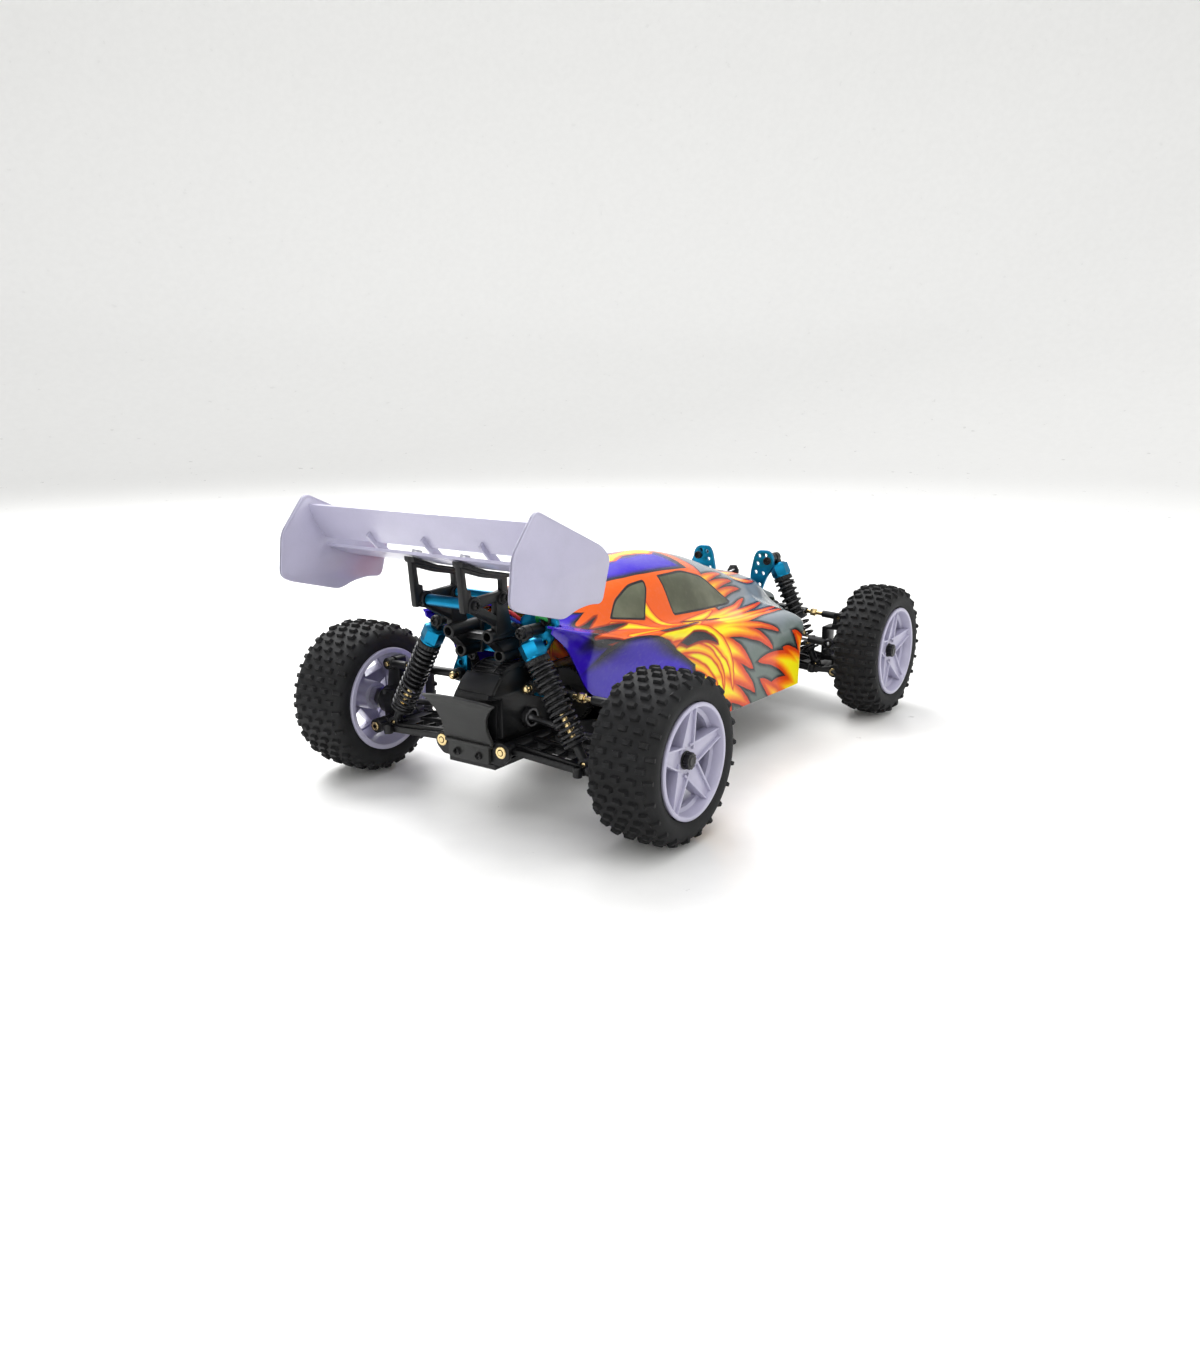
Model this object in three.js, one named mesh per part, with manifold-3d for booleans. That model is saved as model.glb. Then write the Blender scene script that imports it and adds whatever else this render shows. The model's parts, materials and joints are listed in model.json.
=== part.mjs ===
// A 1/10 scale electric buggy with four driven wheels: chassis, gearboxes, towers, arms, hubs,
// oil shocks, links, drive shafts, wheels, wing, body shell and the drive train inside.
// Millimetres. +X is forward, +Y is left, +Z is up. The ground is z = 0.
// Pieces are drawn about the middle of the wheelbase, and the whole buggy is then moved along X
// so that its origin lies on the ground under the middle of its outer box.
import * as THREE from 'three';
import { mergeVertices } from 'three/addons/utils/BufferGeometryUtils.js';
import Module from 'manifold-3d';

const wasm = await Module();
wasm.setup();

// Driving dimensions
const WHEELBASE = 278;
const ORIGIN_X = 18.3;
const TYRE_RADIUS = 44;
const AXLE_Z = TYRE_RADIUS;
const RIM_RADIUS = 30;
const GAP = 0.3;
const PIN_RADIUS = 1.5;
const PIN_BORE = 1.85;
const HUB_INNER = -7;
const HUB_DEPTH = 6.3;
const SPOKE_DEPTH = 2.4;
const ARM_BARREL_RADIUS = 4;
const ARM_HALF_WIDTH = 22;
const CUP_Y = 19.5;
const CUP_BORE = 3.9;
const BALL_RADIUS = 3.1;
const FLOOR_BOTTOM = 26.5;
const FLOOR_TOP = 29;
const DRIVE_Z = 46;
const SPUR_TEETH = 42;
const PINION_TEETH = 14;
const TOOTH_MODULE = 0.8;
const SPUR_RADIUS = (SPUR_TEETH * TOOTH_MODULE) / 2;
const PINION_RADIUS = (PINION_TEETH * TOOTH_MODULE) / 2;
const SPUR_X = -78;
const MOTOR_Z = DRIVE_Z + 2;
const MOTOR_Y = -Math.sqrt((SPUR_RADIUS + PINION_RADIUS + GAP) ** 2 - (MOTOR_Z - DRIVE_Z) ** 2);
const WING_HALF_SPAN = 74.4;

// One end of the suspension. Pivots are [y, z] on the left side; x runs from the axle.
const REAR = {
  name: 'rear',
  axleX: -WHEELBASE / 2,
  armInner: [20.4, 37],
  armOuter: [78, 33],
  earInner: 12.5,
  earOuter: 18.5,
  linkX: -5,
  linkInner: [25.3, 68.3],
  linkOuter: [78, 67],
  shockX: -14.3,
  shockTop: [29, 99.5],
  shockBottom: [66, 36.5],
  cupZ: 50,
  jointY: 76.5,
  wheelY: 103.05,
  halfWidth: 18.85,
};
const FRONT = {
  name: 'front',
  axleX: WHEELBASE / 2,
  armInner: [20.4, 33],
  armOuter: [76, 27],
  earInner: 8.5,
  earOuter: 14,
  linkX: 0,
  linkInner: [22.5, 66],
  linkOuter: [74, 63],
  shockX: -12,
  shockTop: [28, 102.5],
  shockBottom: [62, 30.5],
  cupZ: 48,
  jointY: 76,
  wheelY: 100.65,
  halfWidth: 14.85,
};
const RACK = { x: 109, z: 55, halfLength: 10, tieInnerY: 14 };
const TIE_OUTER = { x: 115, y: 76, z: 49 };

const FINISHES = {
  black_plastic: { color: 0x17181a, roughness: 0.55, metalness: 0 },
  grey_plastic: { color: 0x3a3b3c, roughness: 0.6, metalness: 0 },
  tyre: { color: 0x1b1c1e, roughness: 0.85, metalness: 0 },
  lavender: { color: 0xc3bede, roughness: 0.35, metalness: 0 },
  blue_metal: { color: 0x1f9dcc, roughness: 0.3, metalness: 0.9 },
  steel: { color: 0x8e9092, roughness: 0.3, metalness: 1 },
  spring_steel: { color: 0x1d1e20, roughness: 0.35, metalness: 0.6 },
  shell: { color: 0xe25a1c, roughness: 0.15, metalness: 0 },
  battery: { color: 0x2c5fa8, roughness: 0.5, metalness: 0 },
  gear: { color: 0xe8e4d8, roughness: 0.5, metalness: 0 },
};

// ---- Solids -----------------------------------------------------------------------------

function toSolid(geometry) {
  const bare = geometry.clone();
  bare.deleteAttribute('normal');
  bare.deleteAttribute('uv');
  const welded = mergeVertices(bare, 1e-4);
  const index = welded.index.array;
  const triangles = [];
  for (let i = 0; i < index.length; i += 3) {
    const [a, b, c] = [index[i], index[i + 1], index[i + 2]];
    if (a !== b && b !== c && c !== a) triangles.push(a, b, c);
  }
  return new wasm.Manifold(new wasm.Mesh({
    numProp: 3,
    vertProperties: new Float32Array(welded.getAttribute('position').array),
    triVerts: new Uint32Array(triangles),
  }));
}

function toGeometry(solid) {
  const mesh = solid.getMesh();
  const geometry = new THREE.BufferGeometry();
  geometry.setAttribute('position', new THREE.BufferAttribute(mesh.vertProperties, 3));
  geometry.setIndex(new THREE.BufferAttribute(mesh.triVerts, 1));
  geometry.computeVertexNormals();
  return geometry;
}

function join(...solids) {
  return solids.reduce((whole, piece) => whole.add(piece));
}

function cut(base, ...tools) {
  return tools.reduce((rest, tool) => rest.subtract(tool), base);
}

// The rotation that lays a shape drawn in a plane across one axis and extrudes it along that axis.
function acrossAxis(axis) {
  const x = new THREE.Vector3(1, 0, 0);
  const y = new THREE.Vector3(0, 1, 0);
  const z = new THREE.Vector3(0, 0, 1);
  const bases = { x: [y, z, x], y: [z, x, y], z: [x, y, z] };
  return new THREE.Matrix4().makeBasis(...bases[axis]);
}

function block([x0, x1], [y0, y1], [z0, z1]) {
  const geometry = new THREE.BoxGeometry(x1 - x0, y1 - y0, z1 - z0);
  geometry.translate((x0 + x1) / 2, (y0 + y1) / 2, (z0 + z1) / 2);
  return toSolid(geometry);
}

// A cylinder along one axis, from one place to another, through the point given by centre.
function rod(axis, [x, y, z], radius, from, to, sides = 16) {
  const geometry = new THREE.CylinderGeometry(radius, radius, to - from, sides);
  geometry.rotateX(Math.PI / 2);
  geometry.translate(0, 0, (from + to) / 2);
  geometry.applyMatrix4(acrossAxis(axis));
  geometry.translate(axis === 'x' ? 0 : x, axis === 'y' ? 0 : y, axis === 'z' ? 0 : z);
  return toSolid(geometry);
}

function ball([x, y, z], radius, sides = 8) {
  const geometry = new THREE.SphereGeometry(radius, sides, sides / 2);
  geometry.translate(x, y, z);
  return toSolid(geometry);
}

// An outline extruded along an axis. Points are [x, y] for z, [y, z] for x and [x, z] for y.
// Each corner is rounded by the given radius.
function prism(axis, points, from, to, radius = 0) {
  const outline = axis === 'y' ? points.map(([x, z]) => [z, x]) : points;
  const corners = outline.map(([u, v]) => new THREE.Vector2(u, v));
  const shape = new THREE.Shape();
  corners.forEach((corner, i) => {
    const before = corners[(i + corners.length - 1) % corners.length];
    const after = corners[(i + 1) % corners.length];
    const towards = (other) => {
      const reach = Math.min(radius, corner.distanceTo(other) * 0.45);
      return corner.clone().lerp(other, reach / corner.distanceTo(other));
    };
    const entry = towards(before);
    const exit = towards(after);
    if (i === 0) shape.moveTo(entry.x, entry.y);
    else shape.lineTo(entry.x, entry.y);
    if (radius > 0) shape.quadraticCurveTo(corner.x, corner.y, exit.x, exit.y);
  });
  const geometry = new THREE.ExtrudeGeometry(shape, {
    depth: to - from, bevelEnabled: false, curveSegments: 2, steps: 1,
  });
  geometry.translate(0, 0, from);
  geometry.applyMatrix4(acrossAxis(axis));
  return toSolid(geometry);
}

// A closed profile of [distance along the axis, radius] turned about an axis.
function turned(axis, profile, sides = 20) {
  const points = profile.map(([along, radius]) => new THREE.Vector2(radius, along));
  if (THREE.ShapeUtils.area(points) < 0) points.reverse();
  points.push(points[0].clone());
  const geometry = new THREE.LatheGeometry(points, sides);
  geometry.rotateX(Math.PI / 2);
  geometry.applyMatrix4(acrossAxis(axis));
  return toSolid(geometry);
}

function bothSides(solidOfSide) {
  return join(solidOfSide(1), solidOfSide(-1));
}

function symmetric(half) {
  const other = half.map(([y, z]) => [-y, z]).reverse();
  return [...half, ...other.filter(([y]) => y !== 0)];
}

// ---- Placing pieces ---------------------------------------------------------------------

const buggy = new THREE.Group();
buggy.position.x = ORIGIN_X;

function mirrored(geometry) {
  geometry.scale(1, -1, 1);
  const index = geometry.index.array;
  for (let i = 0; i < index.length; i += 3) {
    [index[i], index[i + 1]] = [index[i + 1], index[i]];
  }
  return geometry;
}

function addPart(parent, name, solid, finish, side = 1) {
  const geometry = side > 0 ? toGeometry(solid) : mirrored(toGeometry(solid));
  const mesh = new THREE.Mesh(geometry, new THREE.MeshStandardMaterial(FINISHES[finish]));
  mesh.name = name;
  parent.add(mesh);
  return mesh;
}

// A group on one side of the buggy at pivot [y, z], turned in the YZ plane by an angle.
function pivotGroup(x, [y, z], angle, side) {
  const group = new THREE.Group();
  group.position.set(x, y * side, z);
  group.rotation.x = angle * side;
  buggy.add(group);
  return group;
}

function reach(from, to) {
  const dy = to[0] - from[0];
  const dz = to[1] - from[1];
  return { length: Math.hypot(dy, dz), angle: Math.atan2(dz, dy) };
}

// ---- Wheels -----------------------------------------------------------------------------

// The tyre is an open channel: tread, two side walls and two beads, hollow towards the rim.
function tyre(halfWidth) {
  const w = halfWidth;
  const bead = RIM_RADIUS - 1.1;
  const outer = [
    [w - 2.8, bead], [w - 2.2, 30.6], [w - 0.2, 33.5], [w - 0.5, 41.6], [w - 2.6, TYRE_RADIUS],
  ];
  const inner = [[w - 5.2, 40.6], [w - 5, bead]];
  const mirror = (points) => points.map(([y, r]) => [-y, r]).reverse();
  return turned('y', [...outer, ...mirror(outer), ...mirror(inner), ...inner]);
}

// The rim is a barrel with two lips, closed by a five-spoke dish with a hub.
function rim(halfWidth) {
  const w = halfWidth;
  const hubFace = w - HUB_DEPTH;
  const spokeFace = w - SPOKE_DEPTH;
  const discBack = w - 9.5;
  const barrel = 28.4;
  const inside = 26.4;
  const profile = [
    [-w, RIM_RADIUS], [-w, inside], [discBack, inside], [discBack - 1, 8.5], [HUB_INNER, 8.5],
    [HUB_INNER, 2.9], [hubFace, 2.9], [hubFace, 7.4], [spokeFace, inside], [w, inside + 1],
    [w, RIM_RADIUS], [w - 1.6, RIM_RADIUS], [w - 2.2, barrel], [-w + 2.2, barrel],
    [-w + 1.6, RIM_RADIUS],
  ];
  const windows = [];
  for (let i = 0; i < 5; i += 1) {
    const angle = ((i + 0.5) * 2 * Math.PI) / 5;
    const opening = (radius, spread) => [
      Math.sin(angle + spread) * radius, Math.cos(angle + spread) * radius,
    ];
    const outline = [opening(10.5, 0), opening(24.8, -0.46), opening(25, 0), opening(24.8, 0.46)];
    windows.push(prism('y', outline, -w + 6, w));
  }
  return cut(turned('y', profile), ...windows);
}

// The stub axle: drive cup, shaft, wheel hex and wheel nut. y is measured from the wheel centre.
function axle(end) {
  const cupMouth = end.jointY - 2 - end.wheelY;
  const cupEnd = cupMouth + 8;
  const hexDepth = 4.5;
  const nutStart = end.halfWidth - HUB_DEPTH + GAP;
  const shaft = join(
    rod('y', [0, 0, 0], 5, cupMouth, cupEnd, 10),
    rod('y', [0, 0, 0], 2.5, cupEnd - 0.5, nutStart + 4, 8),
    rod('y', [0, 0, 0], 6.6, HUB_INNER - GAP - hexDepth, HUB_INNER - GAP, 6),
    rod('y', [0, 0, 0], 4.4, nutStart, nutStart + 3.5, 6),
  );
  return cut(shaft, rod('y', [0, 0, 0], CUP_BORE, cupMouth - 1, cupMouth + 6, 8));
}

// ---- Suspension -------------------------------------------------------------------------

// The lower arm lies along y from its inner hinge pin, with a slot for the shock's lower end.
function lowerArm(end) {
  const { length, angle } = reach(end.armInner, end.armOuter);
  const [shockY, shockZ] = end.shockBottom;
  const dy = shockY - end.armInner[0];
  const dz = shockZ - end.armInner[1];
  const slotY = dy * Math.cos(angle) + dz * Math.sin(angle);
  const half = ARM_HALF_WIDTH;
  const tip = end.earOuter;
  const plate = prism('z', [
    [-half, 1], [-half + 2, 12], [-19, length - 12], [-tip, length - 3], [-tip, length],
    [tip, length], [tip, length - 3], [16, length - 14], [half - 2, 12], [half, 1],
  ], -2.2, 2.2);
  const rib = (x) => block([x - 1, x + 1], [2, length - 13], [-3.4, 3.6]);
  const window = (x0, x1, y0, y1) => prism('z', [[x0, y0], [x1, y0], [x1, y1], [x0, y1]], -4, 4);
  const arm = join(
    plate,
    rod('x', [0, 0, 0], ARM_BARREL_RADIUS, -half, half, 8),
    rod('x', [0, length, 0], ARM_BARREL_RADIUS, -tip, tip, 8),
    rib(-17.2),
    rib(14.2),
  );
  return cut(
    arm,
    rod('x', [0, length, 0], 6.2, -end.earInner, end.earInner, 8),
    block([-end.earInner, end.earInner], [length - 3, length + 6], [-6, 6]),
    rod('x', [0, 0, 0], PIN_BORE, -half - 1, half + 1, 8),
    rod('x', [0, length, 0], PIN_BORE, -tip - 1, tip + 1, 8),
    block([end.shockX - 3.6, end.shockX + 3.6], [slotY - 5.6, slotY + 5.6], [-5, 5]),
    window(-14, -3, 8, slotY - 9.5),
    window(1, 11.5, 8, length - 14),
  );
}

// The rear hub carrier stands on the outer hinge pin and holds the stub axle.
function rearHubCarrier() {
  const [pinY, pinZ] = REAR.armOuter;
  const [linkY, linkZ] = REAR.linkOuter;
  const body = join(
    rod('x', [0, pinY, pinZ], ARM_BARREL_RADIUS, -REAR.earInner + 0.5, REAR.earInner - 0.5, 8),
    rod('x', [0, pinY, pinZ], PIN_RADIUS, -REAR.earOuter - 1, REAR.earOuter + 1, 6),
    block([-7, 7], [74, 82], [pinZ, AXLE_Z]),
    rod('y', [0, 0, AXLE_Z], 9.5, 74.4, 86, 12),
    prism('x', [[74, 50], [82, 50], [linkY + 3.5, linkZ + 3], [linkY - 3.5, linkZ + 3]], -1.6, 5, 1),
  );
  return cut(
    body,
    rod('y', [0, 0, AXLE_Z], 5.5, 73, 83, 10),
    rod('y', [0, 0, AXLE_Z], 2.9, 82, 87, 8),
  );
}

// The front C-hub: a spine and two legs that hold the king pins of the knuckle.
function frontCHub() {
  const [pinY, pinZ] = FRONT.armOuter;
  const [linkY, linkZ] = FRONT.linkOuter;
  const ear = (x) => prism('x', [
    [linkY - 4, 57], [linkY + 4, 57], [linkY + 3, linkZ + 3.4], [linkY - 3, linkZ + 3.4],
  ], x, x + 2.6);
  const body = join(
    rod('x', [0, pinY, pinZ], ARM_BARREL_RADIUS, -FRONT.earInner + 0.5, FRONT.earInner - 0.5, 8),
    rod('x', [0, pinY, pinZ], PIN_RADIUS, -FRONT.earOuter - 1, FRONT.earOuter + 1, 6),
    block([-6, 6], [72, 80], [pinZ, 34]),
    block([-7.5, 7.5], [63, 66.6], [32.8, 58.6]),
    block([-6, 6], [66, 80.5], [32.8, 36]),
    block([-6, 6], [66, 80.5], [54.6, 58.6]),
    ear(-5.8),
    ear(3.2),
  );
  return cut(
    body,
    rod('y', [0, 0, AXLE_Z], 7, 62, 67.5, 12),
    rod('z', [0, FRONT.jointY, 0], PIN_BORE, 32, 60, 8),
    block([-3.2, 3.2], [62, 70.5], [56.2, 59]),
  );
}

// The steering knuckle turns on its king pins and carries the stub axle and the steering arm.
function knuckle() {
  const y = FRONT.jointY;
  const armX = TIE_OUTER.x - FRONT.axleX;
  const body = join(
    rod('y', [0, 0, AXLE_Z], 7.4, 71.5, 86, 12),
    rod('z', [0, y, 0], 4, 36.4, 54.2, 8),
    rod('z', [0, y, 0], PIN_RADIUS, 33, 58, 6),
    prism('z', [[-4, 72], [armX - 3, y - 3], [armX - 3, y + 3], [-4, 81]], 41.5, 45, 1.5),
  );
  return cut(
    body,
    rod('y', [0, 0, AXLE_Z], 5.5, 70, 83, 10),
    rod('y', [0, 0, AXLE_Z], 2.9, 82, 87, 8),
    rod('z', [armX, y, 0], PIN_RADIUS, 40, 46, 6),
  );
}

// A link along y with a round ball end at each end and a hex in the middle.
function link(length, thickness = 5) {
  return join(
    rod('x', [0, 0, 0], 3.3, -thickness / 2, thickness / 2, 8),
    rod('x', [0, length, 0], 3.3, -thickness / 2, thickness / 2, 8),
    rod('y', [0, 0, 0], 2.4, 2, 14, 6),
    rod('y', [0, 0, 0], 2.4, length - 14, length - 2, 6),
    rod('y', [0, 0, 0], 1.5, 10, length - 10, 6),
    rod('y', [0, 0, 0], 2.4, length / 2 - 3, length / 2 + 3, 6),
  );
}

// A drive shaft along y with a drive ball at each end.
function driveShaft(length) {
  return join(
    ball([0, 0, 0], BALL_RADIUS),
    ball([0, length, 0], BALL_RADIUS),
    rod('y', [0, 0, 0], 1.8, 0, length, 8),
  );
}

// Shock pieces hang down from the upper eye along -z.
const SHOCK = {
  capTop: -5, capBottom: -14, ringBottom: -17.6, bodyBottom: -45,
  seatFromEye: 12.6, springRadius: 6.5, wire: 1.2, shaftTop: -31,
};

function shockBody() {
  const tube = join(
    rod('x', [0, 0, 0], 3.3, -2.5, 2.5, 8),
    block([-2.4, 2.4], [-2.6, 2.6], [SHOCK.capTop - 0.6, -0.5]),
    rod('z', [0, 0, 0], SHOCK.springRadius, SHOCK.capBottom, SHOCK.capTop, 6),
    rod('z', [0, 0, 0], SHOCK.springRadius, SHOCK.ringBottom, SHOCK.capBottom - 1, 10),
    rod('z', [0, 0, 0], 4.7, SHOCK.bodyBottom, SHOCK.capBottom + 1, 10),
  );
  return cut(
    tube,
    rod('x', [0, 0, 0], PIN_RADIUS, -3, 3, 6),
    rod('z', [0, 0, 0], 2, SHOCK.bodyBottom - 1, SHOCK.ringBottom, 8),
  );
}

function shockRod(length) {
  const seat = -length + SHOCK.seatFromEye;
  const shaft = join(
    rod('x', [0, 0, -length], 3.3, -2.5, 2.5, 8),
    rod('z', [0, 0, 0], 2.6, -length + 1, seat, 8),
    rod('z', [0, 0, 0], 1.6, seat - 1, SHOCK.shaftTop, 8),
    rod('z', [0, 0, 0], SHOCK.springRadius, seat - 1.8, seat, 10),
  );
  return cut(shaft, rod('x', [0, 0, -length], PIN_RADIUS, -3, 3, 6));
}

function shockSpring(length) {
  const top = SHOCK.ringBottom - GAP;
  const bottom = -length + SHOCK.seatFromEye + GAP;
  const outer = SHOCK.springRadius;
  const inner = outer - SHOCK.wire;
  return turned('z', [[bottom, outer], [top, outer], [top, inner], [bottom, inner]], 14);
}

function addCorner(end, side) {
  const corner = `${end.name}_${side > 0 ? 'left' : 'right'}`;
  const wheel = pivotGroup(end.axleX, [end.wheelY, AXLE_Z], 0, side);
  addPart(wheel, `${corner}_tyre`, tyre(end.halfWidth), 'tyre', side);
  addPart(wheel, `${corner}_rim`, rim(end.halfWidth), 'lavender', side);
  addPart(wheel, `${corner}_axle`, axle(end), 'steel', side);

  const arm = reach(end.armInner, end.armOuter);
  const armGroup = pivotGroup(end.axleX, end.armInner, arm.angle, side);
  addPart(armGroup, `${corner}_lower_arm`, lowerArm(end), 'black_plastic', side);

  const upper = reach(end.linkInner, end.linkOuter);
  const linkGroup = pivotGroup(end.axleX + end.linkX, end.linkInner, upper.angle, side);
  addPart(linkGroup, `${corner}_upper_link`, link(upper.length), 'black_plastic', side);

  const cup = [CUP_Y, end.cupZ];
  const drive = reach(cup, [end.jointY, AXLE_Z]);
  const driveGroup = pivotGroup(end.axleX, cup, drive.angle, side);
  addPart(driveGroup, `${corner}_drive_shaft`, driveShaft(drive.length), 'steel', side);

  const shock = reach(end.shockTop, end.shockBottom);
  const lean = shock.angle + Math.PI / 2;
  const shockGroup = pivotGroup(end.axleX + end.shockX, end.shockTop, lean, side);
  addPart(shockGroup, `${corner}_shock_body`, shockBody(), 'black_plastic', side);
  addPart(shockGroup, `${corner}_shock_rod`, shockRod(shock.length), 'steel', side);
  addPart(shockGroup, `${corner}_spring`, shockSpring(shock.length), 'spring_steel', side);

  const hub = pivotGroup(end.axleX, [0, 0], 0, side);
  if (end === REAR) {
    addPart(hub, `${corner}_hub_carrier`, rearHubCarrier(), 'black_plastic', side);
  } else {
    addPart(hub, `${corner}_c_hub`, frontCHub(), 'black_plastic', side);
    addPart(hub, `${corner}_knuckle`, knuckle(), 'black_plastic', side);
  }
}

// ---- Steering ---------------------------------------------------------------------------

function steeringRack() {
  const { x, z, halfLength } = RACK;
  return join(
    block([x - 3, x + 3], [-halfLength, halfLength], [z - 3.5, z + 2]),
    rod('z', [x, 0, 0], 2, z + 1, z + 5, 8),
  );
}

function addTieRod(side) {
  const inner = [RACK.tieInnerY, RACK.z];
  const dy = TIE_OUTER.y - inner[0];
  const dx = TIE_OUTER.x - RACK.x;
  const dz = TIE_OUTER.z - inner[1];
  const group = pivotGroup(RACK.x, inner, 0, side);
  const rodLength = Math.hypot(dx, dy, dz);
  const tieRod = addPart(group, `tie_rod_${side > 0 ? 'left' : 'right'}`, link(rodLength, 4.4),
    'black_plastic', side);
  tieRod.quaternion.setFromUnitVectors(
    new THREE.Vector3(0, side, 0), new THREE.Vector3(dx, dy * side, dz).normalize());
}

// ---- Gearboxes and towers ---------------------------------------------------------------

// Two plates across the car that hold the lower hinge pins, and the pins themselves.
function hingePlates(end, low) {
  const [pinY, pinZ] = end.armInner;
  const plate = (from, to) => prism('x', [
    [-pinY - 5, pinZ - 3], [-pinY, low], [pinY, low], [pinY + 5, pinZ - 3], [pinY + 5, pinZ + 3],
    [pinY, pinZ + 5], [-pinY, pinZ + 5], [-pinY - 5, pinZ + 3],
  ], from, to);
  const x = end.axleX;
  const half = ARM_HALF_WIDTH;
  return join(
    plate(x - half - 3, x - half - GAP),
    plate(x + half + GAP, x + half + 3),
    bothSides((side) => rod('x', [0, side * pinY, pinZ], PIN_RADIUS, x - half - 4, x + half + 4, 6)),
  );
}

function outdrives(end) {
  const cup = (side) => rod('y', [end.axleX, 0, end.cupZ], 5.4,
    side > 0 ? 14 : -CUP_Y - 2, side > 0 ? CUP_Y + 2 : -14, 14);
  return bothSides(cup);
}

function outdriveBores(end) {
  const bore = (side) => rod('y', [end.axleX, 0, end.cupZ], CUP_BORE,
    side > 0 ? CUP_Y - 4 : -CUP_Y - 4, side > 0 ? CUP_Y + 4 : -CUP_Y + 4, 12);
  return bothSides(bore);
}

// The round cover of the ring gear, seen from the side: an arc with a lip over the bumper.
function ringGearCover(centre, radius) {
  const points = [[centre[0] + radius, 43], [centre[0] + radius, centre[1]]];
  for (let degrees = 15; degrees <= 150; degrees += 15) {
    const angle = THREE.MathUtils.degToRad(degrees);
    points.push([centre[0] + radius * Math.cos(angle), centre[1] + radius * Math.sin(angle)]);
  }
  points.push([-171.6, 68.6], [-171.6, 66], [-160, 64], [-160, 43]);
  return prism('y', points, -19, 1);
}

function rearGearbox() {
  const x = REAR.axleX;
  const low = FLOOR_TOP + GAP;
  const housing = join(
    prism('y', [
      [x - 22.3, low], [x + 24, low], [x + 24, 56], [x + 14, 70], [x - 12, 72], [x - 22.3, 60],
    ], -15.5, 15.5, 4),
    ringGearCover([-148, 56], 25),
    block([x + 2.3, x + 10], [-32, 32], [61, 76]),
    hingePlates(REAR, low),
    outdrives(REAR),
    rod('x', [0, 0, DRIVE_Z], 6, x + 20, x + 29, 10),
  );
  return cut(housing, outdriveBores(REAR), rod('x', [0, 0, DRIVE_Z], 3.2, x + 25, x + 30, 8));
}

function frontGearbox() {
  const x = FRONT.axleX;
  const low = FLOOR_TOP + GAP;
  const housing = join(
    prism('y', [
      [x - 22.3, low], [x + 22.3, low], [x + 22.3, 44], [x + 9, 62], [x - 12, 62], [x - 22.3, 54],
    ], -15.5, 15.5, 4),
    block([x - 4.5, x + 4.5], [-18.9, 18.9], [60, 69]),
    block([x - 22.3, x - 19.8], [-15.5, 15.5], [50, 72]),
    hingePlates(FRONT, low),
    outdrives(FRONT),
    rod('x', [0, 0, DRIVE_Z], 6, x - 26.6, x - 20, 10),
  );
  return cut(housing, outdriveBores(FRONT), rod('x', [0, 0, DRIVE_Z], 3.2, x - 30, x - 25, 8));
}

function holes(axisX0, axisX1, spots, radius) {
  return spots.map(([y, z]) => rod('x', [0, y, z], radius, axisX0, axisX1, 6));
}

// The rear tower is a plate that arches over the ring gear cover.
function rearTower() {
  const [from, to] = [-140, -137];
  const [eyeY, eyeZ] = REAR.shockTop;
  const outline = symmetric([
    [0, 82.6], [22.8, 82.6], [22.8, 62.5], [31, 62.5], [33.5, 69], [29.5, 77], [29.5, 85],
    [38, 97], [39.5, 104], [33, 108.5], [20, 106.5], [12, 100.5], [0, 100.5],
  ]);
  const eyeEnd = REAR.axleX + REAR.shockX + 2.5 + GAP;
  const standoff = (side) => rod('x', [0, side * eyeY, eyeZ], 3, eyeEnd, from + 1, 8);
  const post = rod('z', [-131, 0, 0], 2.3, 88, 116, 8);
  const foot = block([to - 1, -128.5], [-4, 4], [86, 92]);
  const adjust = [];
  for (const side of [1, -1]) {
    adjust.push([side * 34.5, 100], [side * 31.5, 92], [side * 21, 96]);
  }
  return cut(
    join(prism('x', outline, from, to), bothSides(standoff), post, foot),
    ...holes(from - 1, to + 1, adjust, 1.4),
  );
}

// The front tower has two ears with rows of holes, and the body post between them.
function frontTower() {
  const [from, to] = [116.5, 119.5];
  const [eyeY, eyeZ] = FRONT.shockTop;
  const outline = symmetric([
    [0, 56], [20, 56], [24, 64], [21, 74], [26, 88], [31.5, 97], [31.5, 104], [28, 108],
    [19.5, 108], [17, 104], [14.4, 92], [14.4, 80], [12, 76], [0, 76],
  ]);
  const eyeStart = FRONT.axleX + FRONT.shockX - 2.5 - GAP;
  const standoff = (side) => rod('x', [0, side * eyeY, eyeZ], 3, to - 1, eyeStart, 8);
  const adjust = [];
  for (const side of [1, -1]) {
    adjust.push([side * 20.8, 103.6], [side * 19.6, 97.4], [side * 18.4, 91], [side * 24, 94]);
  }
  const cutBack = block([from - 1, to + 1], [-15.8, 15.8], [50, 72.3 + GAP]);
  return cut(
    join(prism('x', outline, from, to), bothSides(standoff),
      rod('z', [118, 0, 0], 2.3, 73.5, 96, 8)),
    ...holes(from - 1, to + 1, adjust, 1.4),
    cutBack,
  );
}

// ---- Chassis, bumpers, wing -------------------------------------------------------------

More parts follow.
